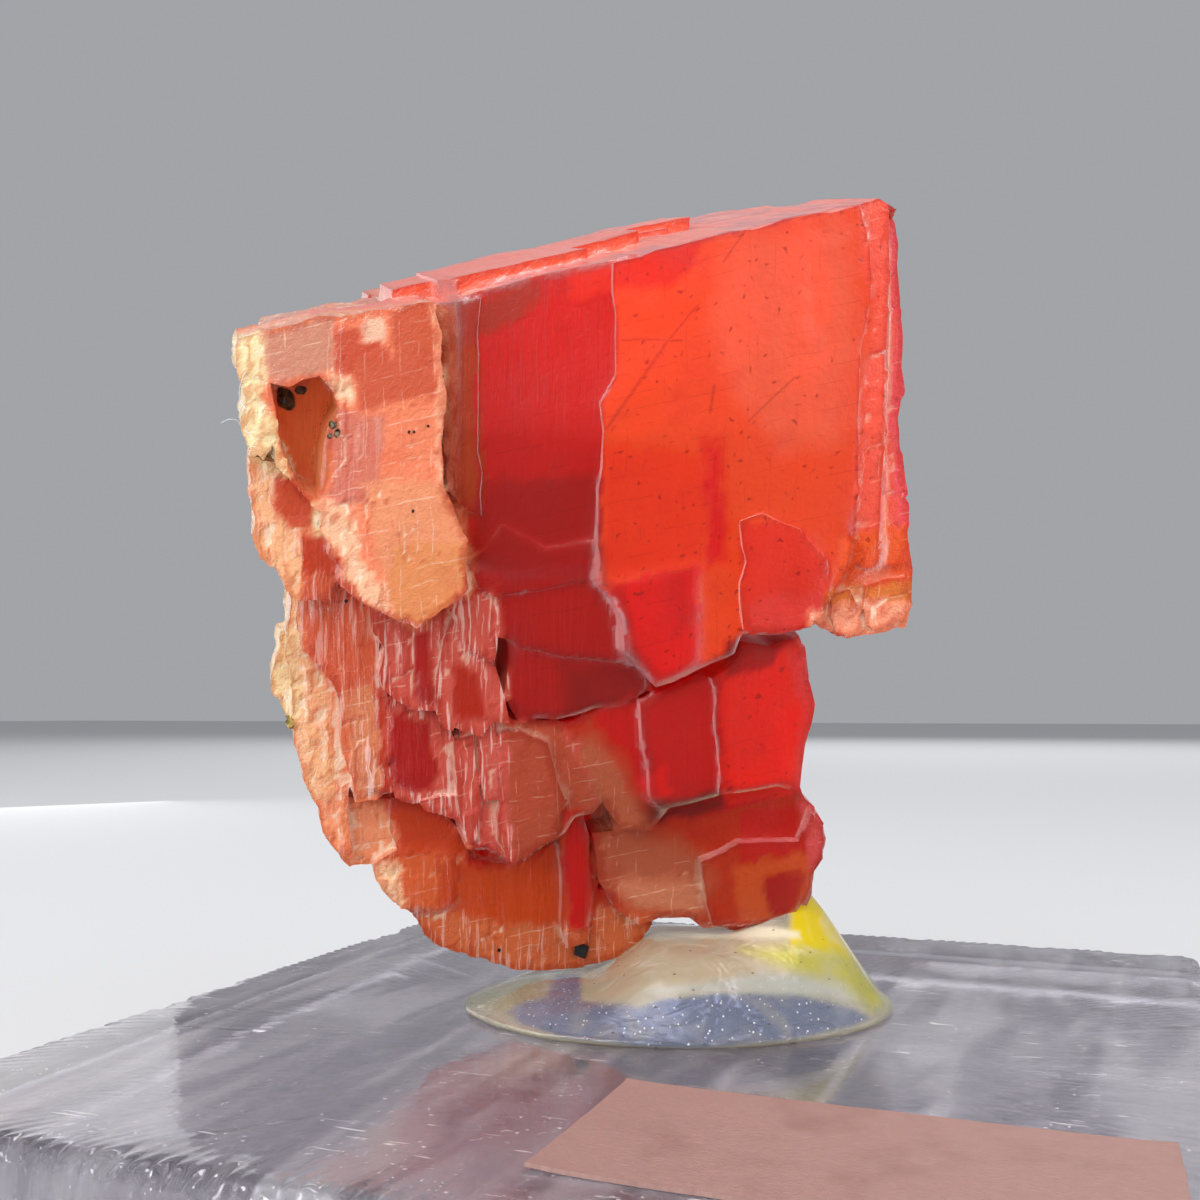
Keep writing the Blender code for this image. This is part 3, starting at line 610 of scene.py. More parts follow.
def build_crystal():
    mesh = even_mesh(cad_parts["rhodochrosite_crystal"])
    mesh.name = "crystal"
    axes = lattice_axes()
    lattice = mesh_points(mesh)
    lattice[:, 2] /= DEPTH_SQUEEZE
    view = lattice @ axes.T
    colour, cloudy, striated, pitted = paint_zones(view, lattice)
    lattice_moved = lattice + relief(lattice, cloudy, striated, pitted)
    lattice_moved[:, 2] -= pressed(view)
    worn = neighbours_mean(mesh, lattice_moved, WORN_ROUNDS)
    clear = np.clip(1.15 - cloudy / 0.45, 0, 1)[:, None]
    lattice_moved += (worn - lattice_moved) * clear * np.array(WORN_SHARE)
    view = lattice_moved @ axes.T
    set_points(mesh, row_from_view(view))
    ridge = ridges(mesh, 1, 0.02)
    broad_ridge = ridges(mesh, 5, 0.06)
    add_values(mesh, "tint", colour)
    add_values(mesh, "lattice", lattice)
    add_values(mesh, "cloudy", cloudy)
    add_values(mesh, "striated", striated)
    add_values(mesh, "pitted", pitted)
    add_values(mesh, "ridge", np.clip(0.6 * ridge + 0.7 * broad_ridge, -1, 1))
    made = link("crystal", mesh)
    mesh.shade_smooth()
    mesh.set_sharp_from_angle(angle=math.radians(38))
    mesh.materials.clear()
    mesh.materials.append(crystal_material())
    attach(made, "root")
    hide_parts("rhodochrosite_crystal")
    return made


def ridges(mesh, rounds, scale):
    """How much each vertex stands out from its neighbourhood: 1 on a sharp edge, -1 in a corner."""
    points = mesh_points(mesh) / MM
    outward = points - neighbours_mean(mesh, points, rounds)
    height = np.einsum("ij,ij->i", outward, vertex_normals(mesh))
    return np.clip(height / scale, -1, 1)


# The glue

def dome_height(x, y, share):
    """How high the glue stands above its rim, from its middle (share 0) to the rim (share 1)."""
    low, high = GLUE_HEIGHTS
    left, right = GLUE_RISE
    step = np.clip((x - left) / (right - left), 0, 1)
    heap = low + (high - low) * step * step * (3 - 2 * step)
    peak_x, peak_y, peak_height = GLUE_PEAK
    spread = ((x - peak_x) / GLUE_PEAK_SPREAD[0]) ** 2 + ((y - peak_y) / GLUE_PEAK_SPREAD[1]) ** 2
    return (heap * (1 - share**2.5) ** 0.6 + peak_height * np.exp(-spread)) * (1 - share**12)


def capped_loops(name, loops, first, last):
    """A closed mesh from loops of points with the same count, with a point at each end."""
    count = len(loops[0])
    points = np.concatenate([[first], *loops, [last]])
    here = np.arange(count)
    following = (here + 1) % count
    faces = [(0, 1 + after, 1 + before) for before, after in zip(here, following)]
    for index in range(len(loops) - 1):
        low = 1 + index * count
        high = low + count
        faces += np.column_stack([low + here, low + following, high + following, high + here]).tolist()
    low = 1 + (len(loops) - 1) * count
    faces += [(low + before, low + after, len(points) - 1) for before, after in zip(here, following)]
    mesh = bpy.data.meshes.new(name)
    mesh.from_pydata(points.tolist(), [], faces)
    mesh.update()
    return mesh


def build_glue():
    """A bead-edged heap of clear glue, which reaches into the crystal and a little into the base."""
    turns = 2 * math.pi * np.arange(GLUE_SPOKES) / GLUE_SPOKES
    wobble = 1 + 0.008 * np.sin(3 * turns + 1) + 0.005 * np.sin(8 * turns) + 0.003 * np.sin(19 * turns)

    def loop(share, height):
        x = GLUE_CENTRE[0] + GLUE_RADII[0] * share * wobble * np.cos(turns)
        y = GLUE_CENTRE[1] + GLUE_RADII[1] * share * wobble * np.sin(turns)
        dome = dome_height(x, y, min(share, 1))
        dome += 0.035 * (1 - min(share, 1) ** 8) * smooth_noise(np.column_stack([x, y]), 0.9, 301)
        return np.column_stack([x, y, BASE_THICKNESS + height + (dome if height >= GLUE_RIM else 0 * dome)])

    loops = [loop(*row) for row in GLUE_FOOT]
    for sunk in loops[:2]:
        sunk[:, 2] -= GLUE_SINK
    shares = np.sin(math.pi / 2 * np.arange(GLUE_RINGS, 0, -1) / GLUE_RINGS)
    loops += [loop(share, GLUE_RIM) for share in shares]
    first = (*GLUE_CENTRE, BASE_THICKNESS - GLUE_SINK)
    last = (*GLUE_CENTRE, BASE_THICKNESS + GLUE_RIM + dome_height(*GLUE_CENTRE, 0))
    mesh = capped_loops("glue", loops, first, last)
    view = mesh_points(mesh)
    colour, cloudy, banded = paint(picture_from_view(view), GLUE_COLOUR, 0.3, 0.0, GLUE_ZONES)
    behind = np.clip((view[:, 1] - GLUE_CENTRE[1]) / 2.5, 0, 0.85)
    colour += (np.array(shade(*GLUE_COLOUR)) - colour) * behind[:, None]
    add_values(mesh, "tint", colour)
    add_values(mesh, "cloudy", cloudy)
    add_values(mesh, "banded", banded * (1 - behind))
    add_values(mesh, "place", view)
    set_points(mesh, row_from_view(view))
    finish_piece("glue", mesh, glue_material(), "glue_pad")


def finish_piece(name, mesh, material, node, sharp=60):
    made = link(name, mesh)
    mesh.shade_smooth()
    mesh.set_sharp_from_angle(angle=math.radians(sharp))
    mesh.materials.clear()
    mesh.materials.append(material)
    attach(made, "root")
    if node:
        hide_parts(node)


# The base and its label

def build_base():
    """The acrylic slab: a square with sawn sides and a beaded, chipped edge round its top and bottom."""
    steps = np.linspace(-1, 1, BASE_EDGE_POINTS, endpoint=False)
    ones = np.ones(BASE_EDGE_POINTS)
    sides = ((steps, -ones), (ones, steps), (-steps, ones), (-ones, -steps))
    ring = np.concatenate([np.column_stack(side) for side in sides])
    along = np.arange(len(ring)) * BASE_SIDE / BASE_EDGE_POINTS
    total = 4 * BASE_SIDE
    around = np.column_stack([np.cos(2 * math.pi * along / total), np.sin(2 * math.pi * along / total)])
    around *= total / (2 * math.pi)
    waver = 1.3 * smooth_noise(around, 1.1, 311)
    beads = BEAD_DEPTH * np.abs(np.sin(math.pi * along / BEAD_LENGTH + waver))
    chips = CHIP_DEPTH * np.clip(smooth_noise(around, 0.8, 312) - 0.35, 0, 1) + beads

    def loop(inset, height, chipped):
        saw = 0.012 * smooth_noise(np.column_stack([around * (3, 3), 0 * along + height * 0.6]), 0.8, 313)
        worn = chips * chipped * (1 + 0.4 * smooth_noise(around, 0.5, 314 + int(height * 20)))
        half = BASE_SIDE / 2 - inset - worn - np.abs(saw) * (inset < 0.3)
        level = height - worn * (0.7 if height > 1 else -0.5)
        return np.column_stack([ring * half[:, None], level + 0 * along])

    loops = [loop(*row) for row in BASE_PROFILE]
    mesh = capped_loops("base", loops, (0, 0, 0), (0, 0, BASE_THICKNESS))
    place = mesh_points(mesh)
    add_values(mesh, "place", place)
    set_points(mesh, place * MM)
    finish_piece("base", mesh, acrylic_material(), "acrylic_base", 50)


def build_label():
    """A bare paper sticker, hardly lifted at its corners."""
    shape = bmesh.new()
    bmesh.ops.create_grid(shape, x_segments=60, y_segments=30, size=0.5)
    mesh = bpy.data.meshes.new("label")
    shape.to_mesh(mesh)
    shape.free()
    flat = mesh_points(mesh)
    corner = np.abs(flat[:, 0] * 2) ** 8 * np.abs(flat[:, 1] * 2) ** 6
    place = flat * np.array([LABEL_SIZE[0], LABEL_SIZE[1], 0]) + np.array([*LABEL_CENTRE, BASE_THICKNESS])
    place[:, 2] += 0.02 + 0.06 * corner + 0.008 * smooth_noise(place[:, :2], 1.8, 321)
    rough_edge = np.clip(np.abs(flat[:, :2] * 2) - 0.98, 0, 1).max(axis=1) > 0
    place[:, :2] += rough_edge[:, None] * 0.02 * np.column_stack([
        smooth_noise(place[:, :2], 0.4, 322), smooth_noise(place[:, :2], 0.4, 323)])
    add_values(mesh, "place", place)
    set_points(mesh, place * MM)
    made = link("label_sheet", mesh)
    thick = made.modifiers.new("thick", "SOLIDIFY")
    thick.thickness = LABEL_SIZE[2] * 0.8 * MM
    thick.offset = 1
    whole = evaluated_mesh(made)
    bpy.data.objects.remove(made, do_unlink=True)
    finish_piece("label", whole, paper_material(), "blank_label", 40)


# Grains and lint

def crystal_tree(crystal):
    mesh = crystal.data
    corners = np.empty(len(mesh.loops), dtype=np.int32)
    mesh.loops.foreach_get("vertex_index", corners)
    starts = np.empty(len(mesh.polygons), dtype=np.int32)
    mesh.polygons.foreach_get("loop_start", starts)
    faces = np.split(corners, starts[1:])
    view = view_from_row(mesh_points(mesh))
    return BVHTree.FromPolygons(view.tolist(), [face.tolist() for face in faces])


def on_crystal(tree, point):
    """Where, in view space, the eye meets the crystal at a picture point, or just inside its outline."""
    place = None
    point = np.array(point, float)
    inward = (np.array(PICTURE_MIDDLE) - point) / np.linalg.norm(np.array(PICTURE_MIDDLE) - point)
    while place is None:
        place, _, _, _ = tree.ray_cast(Vector(EYE), Vector(sight_line(point)).normalized())
        point += inward
    return place


def grain(point, across, high, tree, chance, boxy):
    """One grain set in the stone, as its points and faces. Its size is in picture points at its place."""
    place = on_crystal(tree, point)
    pixel = (place - Vector(EYE)).length / FOCAL_PIXELS
    shape = bmesh.new()
    if boxy:
        bmesh.ops.create_cube(shape, size=1)
        bmesh.ops.bevel(shape, geom=shape.edges[:], offset=0.07, segments=1, affect="EDGES")
    else:
        bmesh.ops.create_icosphere(shape, subdivisions=2, radius=0.5)
    turn = Matrix.Rotation(chance.uniform(-0.5, 0.5), 3, "Y")
    turn @= Matrix.Rotation(chance.uniform(-0.4, 0.4), 3, "Z")
    for vert in shape.verts:
        rough = 1.0 if boxy else chance.uniform(0.75, 1.1)
        local = Vector((vert.co.x * across, vert.co.y * (across + high) / 2, vert.co.z * high)) * rough
        vert.co = place + turn @ local * pixel
    points = [tuple(vert.co) for vert in shape.verts]
    shape.verts.index_update()
    faces = [[vert.index for vert in face.verts] for face in shape.faces]
    shape.free()
    return points, faces


def build_grains(name, grains, tree, boxy, material):
    chance = random.Random(name)
    points, faces = [], []
    for point, across, high in grains:
        more, sides = grain(point, across, high, tree, chance, boxy)
        faces += [[index + len(points) for index in side] for side in sides]
        points += more
    mesh = bpy.data.meshes.new(name)
    mesh.from_pydata(row_from_view(np.array(points)).tolist(), [], faces)
    mesh.update()
    finish_piece(name, mesh, material, None, 25)


def build_lint(tree):
    """Fine fibres caught on the crystal's left rim."""
    sides = 6
    points, faces = [], []
    for hook, radius, path in LINT:
        place = on_crystal(tree, hook)
        route = []
        for index, point in enumerate(path):
            ray = sight_line(point)
            route.append(EYE + ray * (place.y - EYE[1] - 0.25 * math.sin(index * 1.7)) / ray[1])
        route = np.array(route)
        steps = np.linspace(0, len(path) - 1, 6 * len(path))
        ticks = np.arange(len(path))
        line = np.column_stack([np.interp(steps, ticks, route[:, axis]) for axis in range(3)])
        for _ in range(3):
            line[1:-1] = (line[:-2] + 2 * line[1:-1] + line[2:]) / 4
        for index, centre in enumerate(line):
            forward = Vector(line[min(index + 1, len(line) - 1)] - line[max(index - 1, 0)]).normalized()
            side = forward.cross(Vector((0, 1, 0))).normalized()
            other = forward.cross(side)
            for step in range(sides):
                turn = 2 * math.pi * step / sides
                outward = side * math.cos(turn) + other * math.sin(turn)
                points.append(tuple(Vector(centre) + outward * radius))
        start = len(points) - sides * len(line)
        for index in range(len(line) - 1):
            for step in range(sides):
                low = start + index * sides
                after = (step + 1) % sides
                faces.append((low + step, low + after, low + sides + after, low + sides + step))
        faces.append([start + step for step in reversed(range(sides))])
        faces.append([len(points) - sides + step for step in range(sides)])
    mesh = bpy.data.meshes.new("lint")
    mesh.from_pydata(row_from_view(np.array(points)).tolist(), [], faces)
    mesh.update()
    finish_piece("lint", mesh, lint_material(), None, 80)


# Materials

class Nodes:
    """A short way to write a node tree."""

    def __init__(self, name):
        self.material = bpy.data.materials.new(name)
        self.material.use_nodes = True
        self.tree = self.material.node_tree
        self.shader = self.tree.nodes["Principled BSDF"]
        self.output = self.tree.nodes["Material Output"]

    def put(self, socket, value):
        if isinstance(value, bpy.types.NodeSocket):
            self.tree.links.new(value, socket)
        elif isinstance(value, tuple) and len(value) == 3 and socket.type == "RGBA":
            socket.default_value = (*value, 1.0)
        else:
            socket.default_value = value

    def node(self, kind, **settings):
        made = self.tree.nodes.new(kind)
        for name, value in settings.items():
            setattr(made, name, value)
        return made

    def values(self, name):
        made = self.node("ShaderNodeAttribute", attribute_name=name)
        return made.outputs["Fac"]

    def vector(self, name):
        made = self.node("ShaderNodeAttribute", attribute_name=name)
        return made.outputs["Vector"]

    def math(self, operation, first, second=0.0):
        made = self.node("ShaderNodeMath", operation=operation)
        self.put(made.inputs[0], first)
        self.put(made.inputs[1], second)
        return made.outputs[0]

    def vector_math(self, operation, first, second):
        made = self.node("ShaderNodeVectorMath", operation=operation)
        self.put(made.inputs[0], first)
        self.put(made.inputs[1], second)
        return made.outputs["Value" if operation in ("DOT_PRODUCT", "LENGTH") else "Vector"]

    def stretch(self, place, scale):
        return self.vector_math("MULTIPLY", place, scale)

    def noise(self, place, scale, detail=2.0, roughness=0.5, distortion=0.0):
        made = self.node("ShaderNodeTexNoise")
        self.put(made.inputs["Vector"], place)
        made.inputs["Scale"].default_value = scale
        made.inputs["Detail"].default_value = detail
        made.inputs["Roughness"].default_value = roughness
        made.inputs["Distortion"].default_value = distortion
        return made.outputs["Fac"]

    def dots(self, place, scale, core, edge, strength):
        """Round dots, full inside their core and fading to their edge."""
        made = self.node("ShaderNodeTexVoronoi")
        self.put(made.inputs["Vector"], place)
        made.inputs["Scale"].default_value = scale
        return self.ramp(made.outputs["Distance"], core, edge, strength, 0.0)

    def ramp(self, value, low, high, start=0.0, end=1.0):
        made = self.node("ShaderNodeMapRange", interpolation_type="SMOOTHSTEP")
        self.put(made.inputs["Value"], value)
        for name, number in (("From Min", low), ("From Max", high), ("To Min", start), ("To Max", end)):
            self.put(made.inputs[name], number)
        return made.outputs["Result"]

    def mix(self, share, first, second, blend="MIX"):
        made = self.node("ShaderNodeMix", data_type="RGBA", blend_type=blend)
        self.put(made.inputs[0], share)
        self.put(made.inputs[6], first)
        self.put(made.inputs[7], second)
        return made.outputs[2]

    def bump(self, height, distance):
        made = self.node("ShaderNodeBump")
        made.inputs["Strength"].default_value = 1.0
        made.inputs["Distance"].default_value = distance
        self.put(made.inputs["Height"], height)
        return made.outputs["Normal"]

    def lines(self, place, direction, per_mm, width):
        """Thin lines at uneven distances across one direction."""
        along = self.vector_math("DOT_PRODUCT", place, direction)
        made = self.node("ShaderNodeTexVoronoi", voronoi_dimensions="1D", feature="DISTANCE_TO_EDGE")
        self.put(made.inputs["W"], along)
        made.inputs["Scale"].default_value = per_mm
        return self.ramp(made.outputs["Distance"], 0.0, width, 1.0, 0.0)

    def segment(self, place, start, end, width):
        """1 on a straight line from start to end, fading to 0 at its width."""
        start = Vector(start)
        run = Vector(end) - start
        offset = self.vector_math("SUBTRACT", place, tuple(start))
        share = self.vector_math("DOT_PRODUCT", offset, tuple(run / run.length_squared))
        share = self.math("MAXIMUM", self.math("MINIMUM", share, 1.0), 0.0)
        scaled = self.node("ShaderNodeVectorMath", operation="SCALE")
        self.put(scaled.inputs[0], tuple(run))
        self.put(scaled.inputs["Scale"], share)
        aside = self.vector_math("SUBTRACT", offset, scaled.outputs[0])
        distance = self.vector_math("LENGTH", aside, aside)
        return self.ramp(distance, 0.0, width, 1.0, 0.0)


def crystal_material():
    made = Nodes("rhodochrosite")
    place = made.vector("lattice")
    cloudy = made.values("cloudy")
    striated = made.values("striated")
    ridge = made.values("ridge")
    colour = made.node("ShaderNodeAttribute", attribute_name="tint").outputs["Color"]

    def darker(share, tone):
        return made.mix(share, colour, made.mix(1.0, colour, tone, "MULTIPLY"))

    patches = made.noise(place, 0.9, 3.0, 0.6)
    colour = darker(made.ramp(patches, 0.5, 0.75, 0.0, 0.4), (0.8, 0.45, 0.4))
    streaks = made.noise(made.stretch(place, (7.0, 0.5, 1.6)), 1.0, 2.0, 0.6)
    streaked = made.math("MULTIPLY", made.ramp(streaks, 0.55, 0.75, 0.0, 0.5), striated)
    colour = darker(streaked, (0.66, 0.34, 0.26))

    shifted = made.node("ShaderNodeVectorMath", operation="MULTIPLY_ADD")
    made.put(shifted.inputs[0], patches)
    made.put(shifted.inputs[1], (0.22, 0.16, 0.2))
    made.put(shifted.inputs[2], place)
    upright_lines = made.lines(shifted.outputs[0], (1.0, 0.0, 0.0), 1.9, 0.05)
    level_lines = made.lines(shifted.outputs[0], (0.0, 1.0, 0.0), 1.6, 0.05)
    broken = made.noise(place, 1.3, 2.0, 0.6)
    grid = made.math("MAXIMUM",
                     made.math("MULTIPLY", upright_lines, made.ramp(broken, 0.48, 0.6)),
                     made.math("MULTIPLY", level_lines, made.ramp(broken, 0.52, 0.4)))
    cracks = made.math("MULTIPLY", grid, made.ramp(cloudy, 0.3, 0.7, 0.0, 0.45))
    colour = made.mix(cracks, colour, shade(255, 226, 198))
    colour = darker(made.math("MULTIPLY", grid, made.ramp(cloudy, 0.0, 0.4, 0.45, 0.0)), (0.6, 0.2, 0.2))

    # Sharp edges in cloudy stone are painted pale: partly the frosted crust of thin edges, partly a painted
    # highlight
    crust_and_rim_highlights = made.math("MULTIPLY", made.ramp(ridge, 0.25, 1.0), made.ramp(cloudy, 0.3, 0.9, 0.0, 0.85))
    colour = made.mix(crust_and_rim_highlights, colour, shade(255, 232, 200))
    # Painted shade: hollows and inner corners between the steps are darkened
    colour = darker(made.ramp(ridge, -0.9, -0.15, 0.6, 0.0), (0.66, 0.3, 0.2))

    # Painted highlight: silvery glints along the striae of the cloudy, striated stone
    silver_glints = made.math("MULTIPLY", made.ramp(streaks, 0.44, 0.36, 0.0, 0.65), made.ramp(striated, 0.3, 0.9))
    silver_glints = made.math("MULTIPLY", silver_glints, made.ramp(cloudy, 0.35, 0.6))
    colour = made.mix(silver_glints, colour, shade(255, 218, 204))

    # Painted shade: dark specks where the stone is pitted, standing for the shade in the pits
    pit_shade_specks = made.ramp(made.noise(place, 5.0, 0.0), 0.7, 0.8)
    here = made.math("MULTIPLY", made.ramp(broken, 0.4, 0.58), made.values("pitted"))
    pit_shade_specks = made.math("MULTIPLY", pit_shade_specks, here)
    colour = darker(made.math("MULTIPLY", pit_shade_specks, 0.75), (0.4, 0.08, 0.08))

    axes = np.linalg.inv(lattice_axes())
    scratches = None
    for start, end, width in SCRATCHES:
        ends = [tuple(float(value) for value in axes @ front_point(point, 0.5)) for point in (start, end)]
        line = made.segment(place, *ends, width * 2)
        scratches = line if scratches is None else made.math("MAXIMUM", scratches, line)
    colour = darker(made.math("MULTIPLY", scratches, 0.45), (0.4, 0.08, 0.08))
    made.put(made.shader.inputs["Base Color"], colour)

    rough = made.math("ADD", made.ramp(cloudy, 0.0, 1.0, 0.34, 0.2), made.math("MULTIPLY", patches, 0.15))
    made.put(made.shader.inputs["Roughness"], rough)
    made.put(made.shader.inputs["Transmission Weight"], made.ramp(cloudy, 0.1, 0.9, 0.55, 0.2))
    made.shader.inputs["IOR"].default_value = 1.6
    made.shader.inputs["Specular IOR Level"].default_value = 0.3
    made.shader.inputs["Specular Tint"].default_value = (1.0, 0.3, 0.24, 1.0)

    grain = made.noise(place, 6.0, 2.0, 0.65)
    height = made.math("MULTIPLY", grain, made.ramp(cloudy, 0.0, 1.0, 0.2, 1.0))
    height = made.math("ADD", height, made.math("MULTIPLY", streaks, striated))
    made.put(made.shader.inputs["Normal"], made.bump(height, 0.07 * MM))

    inner = made.node("ShaderNodeVolumeAbsorption")
    inner.inputs["Color"].default_value = (1.0, 0.5, 0.42, 1.0)
    inner.inputs["Density"].default_value = 45.0
    made.tree.links.new(inner.outputs["Volume"], made.output.inputs["Volume"])
    return made.material


def plain_material(name, colour, roughness, **others):
    made = Nodes(name)
    made.shader.inputs["Base Color"].default_value = (*colour, 1.0)
    made.shader.inputs["Roughness"].default_value = roughness
    for socket, value in others.items():
        made.shader.inputs[socket.replace("_", " ")].default_value = value
    return made


def glue_material():
    made = Nodes("clear_glue")
    place = made.vector("place")
    cloudy = made.values("cloudy")
    banded = made.values("banded")
    colour = made.node("ShaderNodeAttribute", attribute_name="tint").outputs["Color"]
    swirl = made.noise(place, 0.8, 2.0, 0.5, 1.2)
    colour = made.mix(made.ramp(swirl, 0.45, 0.75, 0.0, 0.35), colour, shade(236, 228, 206))
    bubbles = made.math("MULTIPLY", made.dots(place, 5.0, 0.05, 0.22, 0.8), banded)
    colour = made.mix(bubbles, colour, shade(255, 253, 240))
    dust = made.dots(made.stretch(place, (1.0, 1.3, 1.9)), 1.7, 0.06, 0.12, 0.85)
    colour = made.mix(dust, colour, shade(70, 54, 40))
    made.put(made.shader.inputs["Base Color"], colour)
    made.put(made.shader.inputs["Roughness"], made.ramp(swirl, 0.3, 0.7, 0.04, 0.14))
    clear = made.ramp(cloudy, 0.0, 1.0, 0.9, 0.2)
    clear = made.math("MULTIPLY", clear, made.math("SUBTRACT", 1.0, made.math("MAXIMUM", bubbles, dust)))
    made.put(made.shader.inputs["Transmission Weight"], clear)
    made.shader.inputs["IOR"].default_value = 1.48
    made.put(made.shader.inputs["Normal"], made.bump(swirl, 0.05 * MM))
    return made.material


def acrylic_material():
    made = Nodes("clear_acrylic")
    place = made.vector("place")
    mottle = made.noise(place, 1.1, 2.0, 0.65)
    streaks = made.noise(made.stretch(place, (0.6, 0.11, 0.3)), 1.0, 1.0, 0.55, 0.9)
    across = made.noise(made.stretch(place, (0.5, 8.0, 3.0)), 1.0, 1.0, 0.5, 0.4)
    fine = made.ramp(across, 0.68, 0.76)
    broken = made.ramp(mottle, 0.42, 0.6)
    # Painted highlight: sparkle is small glints; with the fine scratches they are painted near white where
    # the mottle allows
    sparkle = made.ramp(made.noise(place, 8.0, 0.0), 0.7, 0.8, 0.0, 0.9)
    scratches_and_glints = made.math("MULTIPLY", made.math("MAXIMUM", fine, sparkle), broken)
    # Lighter streaks on the top: partly smears, partly painted glints
    colour = made.mix(made.ramp(streaks, 0.35, 0.7), shade(205, 199, 210), shade(232, 228, 234))
    colour = made.mix(scratches_and_glints, colour, shade(255, 252, 250))
    made.put(made.shader.inputs["Base Color"], colour)
    made.put(made.shader.inputs["Roughness"], made.ramp(streaks, 0.4, 0.7, 0.06, 0.16))
    clear = made.math("SUBTRACT", made.ramp(streaks, 0.35, 0.7, 0.94, 0.8), made.math("MULTIPLY", scratches_and_glints, 0.5))
    made.put(made.shader.inputs["Transmission Weight"], clear)
    made.shader.inputs["IOR"].default_value = 1.49
    made.put(made.shader.inputs["Normal"], made.bump(mottle, 0.01 * MM))
    return made.material


def paper_material():
    made = Nodes("paper")
    place = made.vector("place")
    fibre = made.noise(made.stretch(place, (1.0, 2.2, 1.0)), 7.0, 3.0, 0.7)
    paper_blotches = made.noise(place, 0.5, 3.0, 0.6)
    # Painted shade: the white paper is tinted brownish pink, for the shade it lies in and the red light from
    # the crystal on it
    colour = made.mix(made.ramp(fibre, 0.35, 0.7, 0.0, 0.5), shade(168, 132, 124), shade(188, 152, 143))
    # Darker blotches over the paper
    colour = made.mix(made.ramp(paper_blotches, 0.45, 0.75, 0.0, 0.45), colour, shade(140, 104, 96))
    made.put(made.shader.inputs["Base Color"], colour)
    made.put(made.shader.inputs["Roughness"], made.ramp(fibre, 0.3, 0.7, 0.55, 0.8))
    made.put(made.shader.inputs["Normal"], made.bump(fibre, 0.03 * MM))
    return made.material


def grain_material(name, dark, light, metallic, roughness):
    """A mineral grain: blotched darker and lighter."""
    made = Nodes(name)
    where = made.node("ShaderNodeTexCoord").outputs["Object"]
    blotch = made.noise(made.stretch(where, (1 / MM, 1 / MM, 1 / MM)), 6.0, 2.0, 0.6)
    colour = made.mix(made.ramp(blotch, 0.4, 0.62), shade(*dark), shade(*light))
    made.put(made.shader.inputs["Base Color"], colour)
    made.put(made.shader.inputs["Roughness"], made.ramp(blotch, 0.35, 0.65, roughness, roughness + 0.2))
    made.shader.inputs["Metallic"].default_value = metallic
    made.put(made.shader.inputs["Normal"], made.bump(blotch, 0.04 * MM))
    return made.material


def lint_material():
    made = Nodes("lint")
    where = made.node("ShaderNodeTexCoord").outputs["Object"]
    blotch = made.noise(made.stretch(where, (1 / MM, 1 / MM, 1 / MM)), 3.0, 1.0)
    made.put(made.shader.inputs["Base Color"], made.mix(blotch, shade(232, 232, 236), shade(205, 205, 212)))
    made.shader.inputs["Roughness"].default_value = 0.6
    return made.material


# The stage

def build_camera():
    data = bpy.data.cameras.new("camera")
    data.sensor_fit = "AUTO"
    data.sensor_width = SENSOR
    data.lens = SENSOR * FOCAL_PIXELS / PICTURE_SIZE
    data.clip_start = 1 * MM
    data.clip_end = 10
    made = bpy.data.objects.new("camera", data)
    bpy.context.scene.collection.objects.link(made)
    made.location = row_from_view([EYE])[0]
    made.rotation_euler = (math.pi / 2 + EYE_PITCH, 0, VIEW_TURN)
    bpy.context.scene.camera = made


def build_floor():
    mesh = bpy.data.meshes.new("floor")
    low = -FLOOR_GAP * MM
    corners = [(x * FLOOR_REACH, y * FLOOR_REACH, low) for x, y in ((-1, -1), (1, -1), (1, 1), (-1, 1))]
    mesh.from_pydata(corners, [], [(0, 1, 2, 3)])
    made = link("floor", mesh)
    mesh.materials.append(plain_material("floor", (0.72, 0.72, 0.73), 1.0, Specular_IOR_Level=0.0).material)


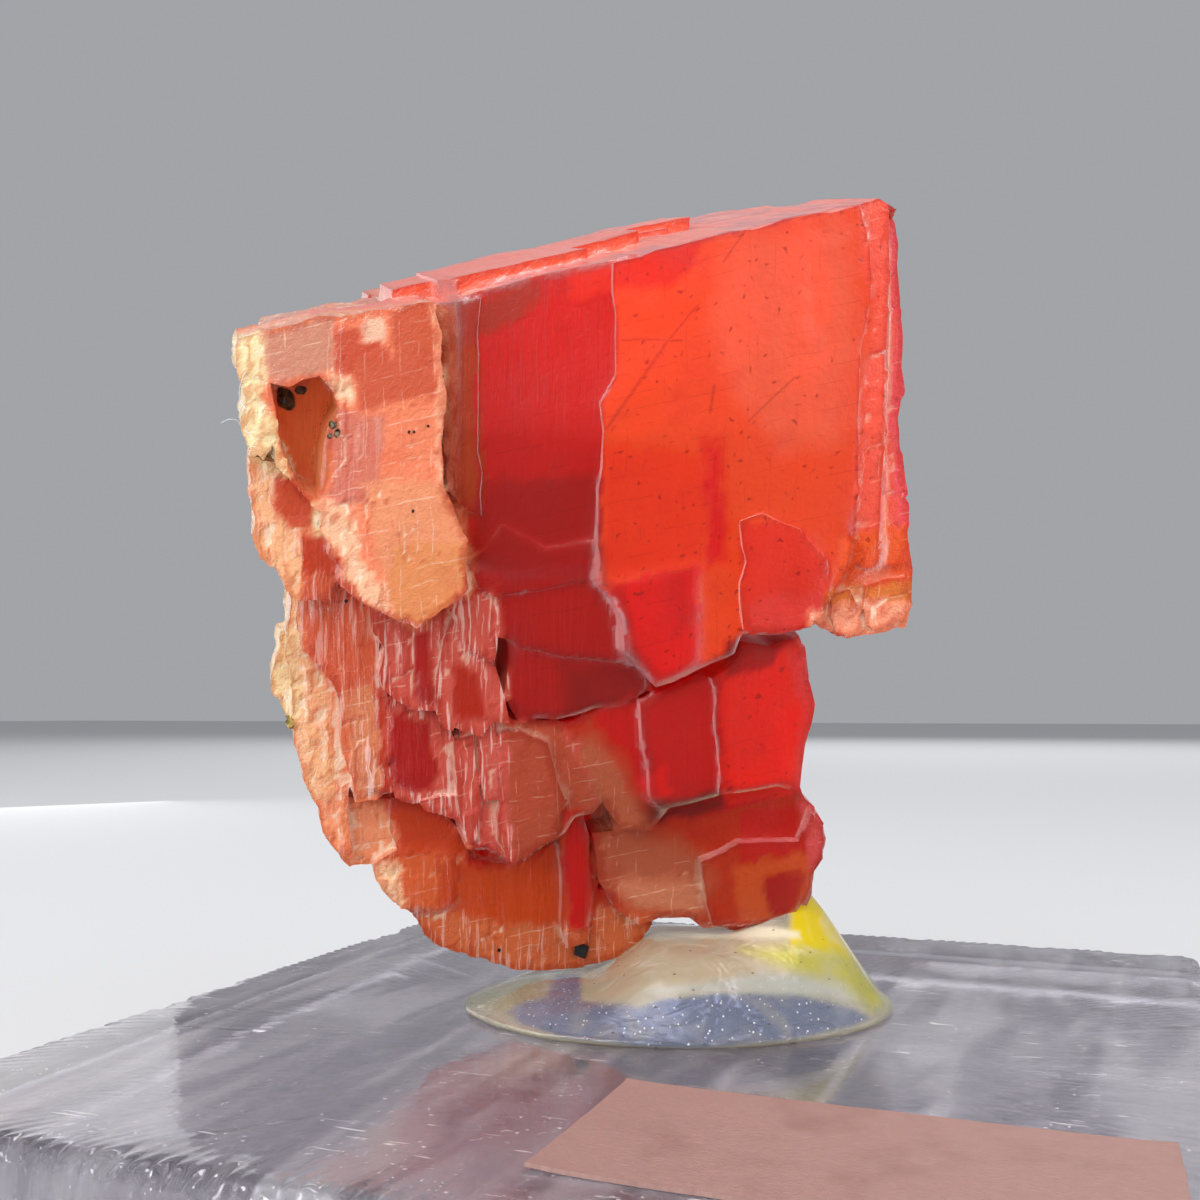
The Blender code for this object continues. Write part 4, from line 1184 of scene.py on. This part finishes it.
def build_lamp(name, place, aim, size, power, glossy=True):
    """A soft lamp. Its place and aim are in view space, in millimetres."""
    data = bpy.data.lights.new(name, "AREA")
    data.shape = "RECTANGLE"
    data.size = size[0] * MM
    data.size_y = size[1] * MM
    data.energy = power
    made = bpy.data.objects.new(name, data)
    bpy.context.scene.collection.objects.link(made)
    start = Vector(row_from_view(np.array([place], float))[0])
    end = Vector(row_from_view(np.array([aim], float))[0])
    made.location = start
    made.rotation_euler = (end - start).to_track_quat("-Z", "Y").to_euler()
    made.visible_camera = False
    made.visible_glossy = glossy


def build_lights():
    world = bpy.data.worlds.new("studio")
    bpy.context.scene.world = world
    world.use_nodes = True
    world.node_tree.nodes["Background"].inputs["Color"].default_value = (0.36, 0.37, 0.39, 1)
    world.node_tree.nodes["Background"].inputs["Strength"].default_value = 1.0
    middle = (0, 0, 18)
    build_lamp("back_light", (120, 440, 340), middle, (420, 320), 1.1, glossy=False)
    build_lamp("left_light", (-90, 130, 50), middle, (60, 120), 0.02)
    build_lamp("key_light", (-110, -170, 160), middle, (300, 300), 0.74, glossy=False)
    build_lamp("fill_light", (170, -140, 80), middle, (260, 260), 0.38, glossy=False)
    build_lamp("sparkle_light", (-60, -90, 150), middle, (24, 24), 0.004)


bpy.context.scene.view_settings.view_transform = "Standard"
bpy.context.scene.cycles.max_bounces = LIGHT_BOUNCES
build_camera()
build_floor()
build_lights()
crystal = build_crystal()
build_glue()
build_base()
build_label()
tree = crystal_tree(crystal)
build_grains("dark_grains", DARK_GRAINS, tree, False,
             grain_material("dark_grain", (30, 24, 10), (92, 74, 36), 0.0, 0.35))
build_grains("metal_grains", METAL_GRAINS, tree, False,
             grain_material("metal_grain", (60, 52, 40), (176, 160, 130), 0.8, 0.25))
build_grains("brassy_grains", BRASSY_GRAINS, tree, False,
             grain_material("brassy_grain", (150, 116, 50), (228, 204, 130), 0.8, 0.25))
build_grains("black_cubes", BLACK_CUBES, tree, True,
             grain_material("black_cube", (8, 6, 6), (34, 26, 24), 0.0, 0.25))
build_grains("black_dots", BLACK_DOTS, tree, False,
             grain_material("black_dot", (10, 8, 8), (40, 32, 28), 0.0, 0.4))
build_lint(tree)
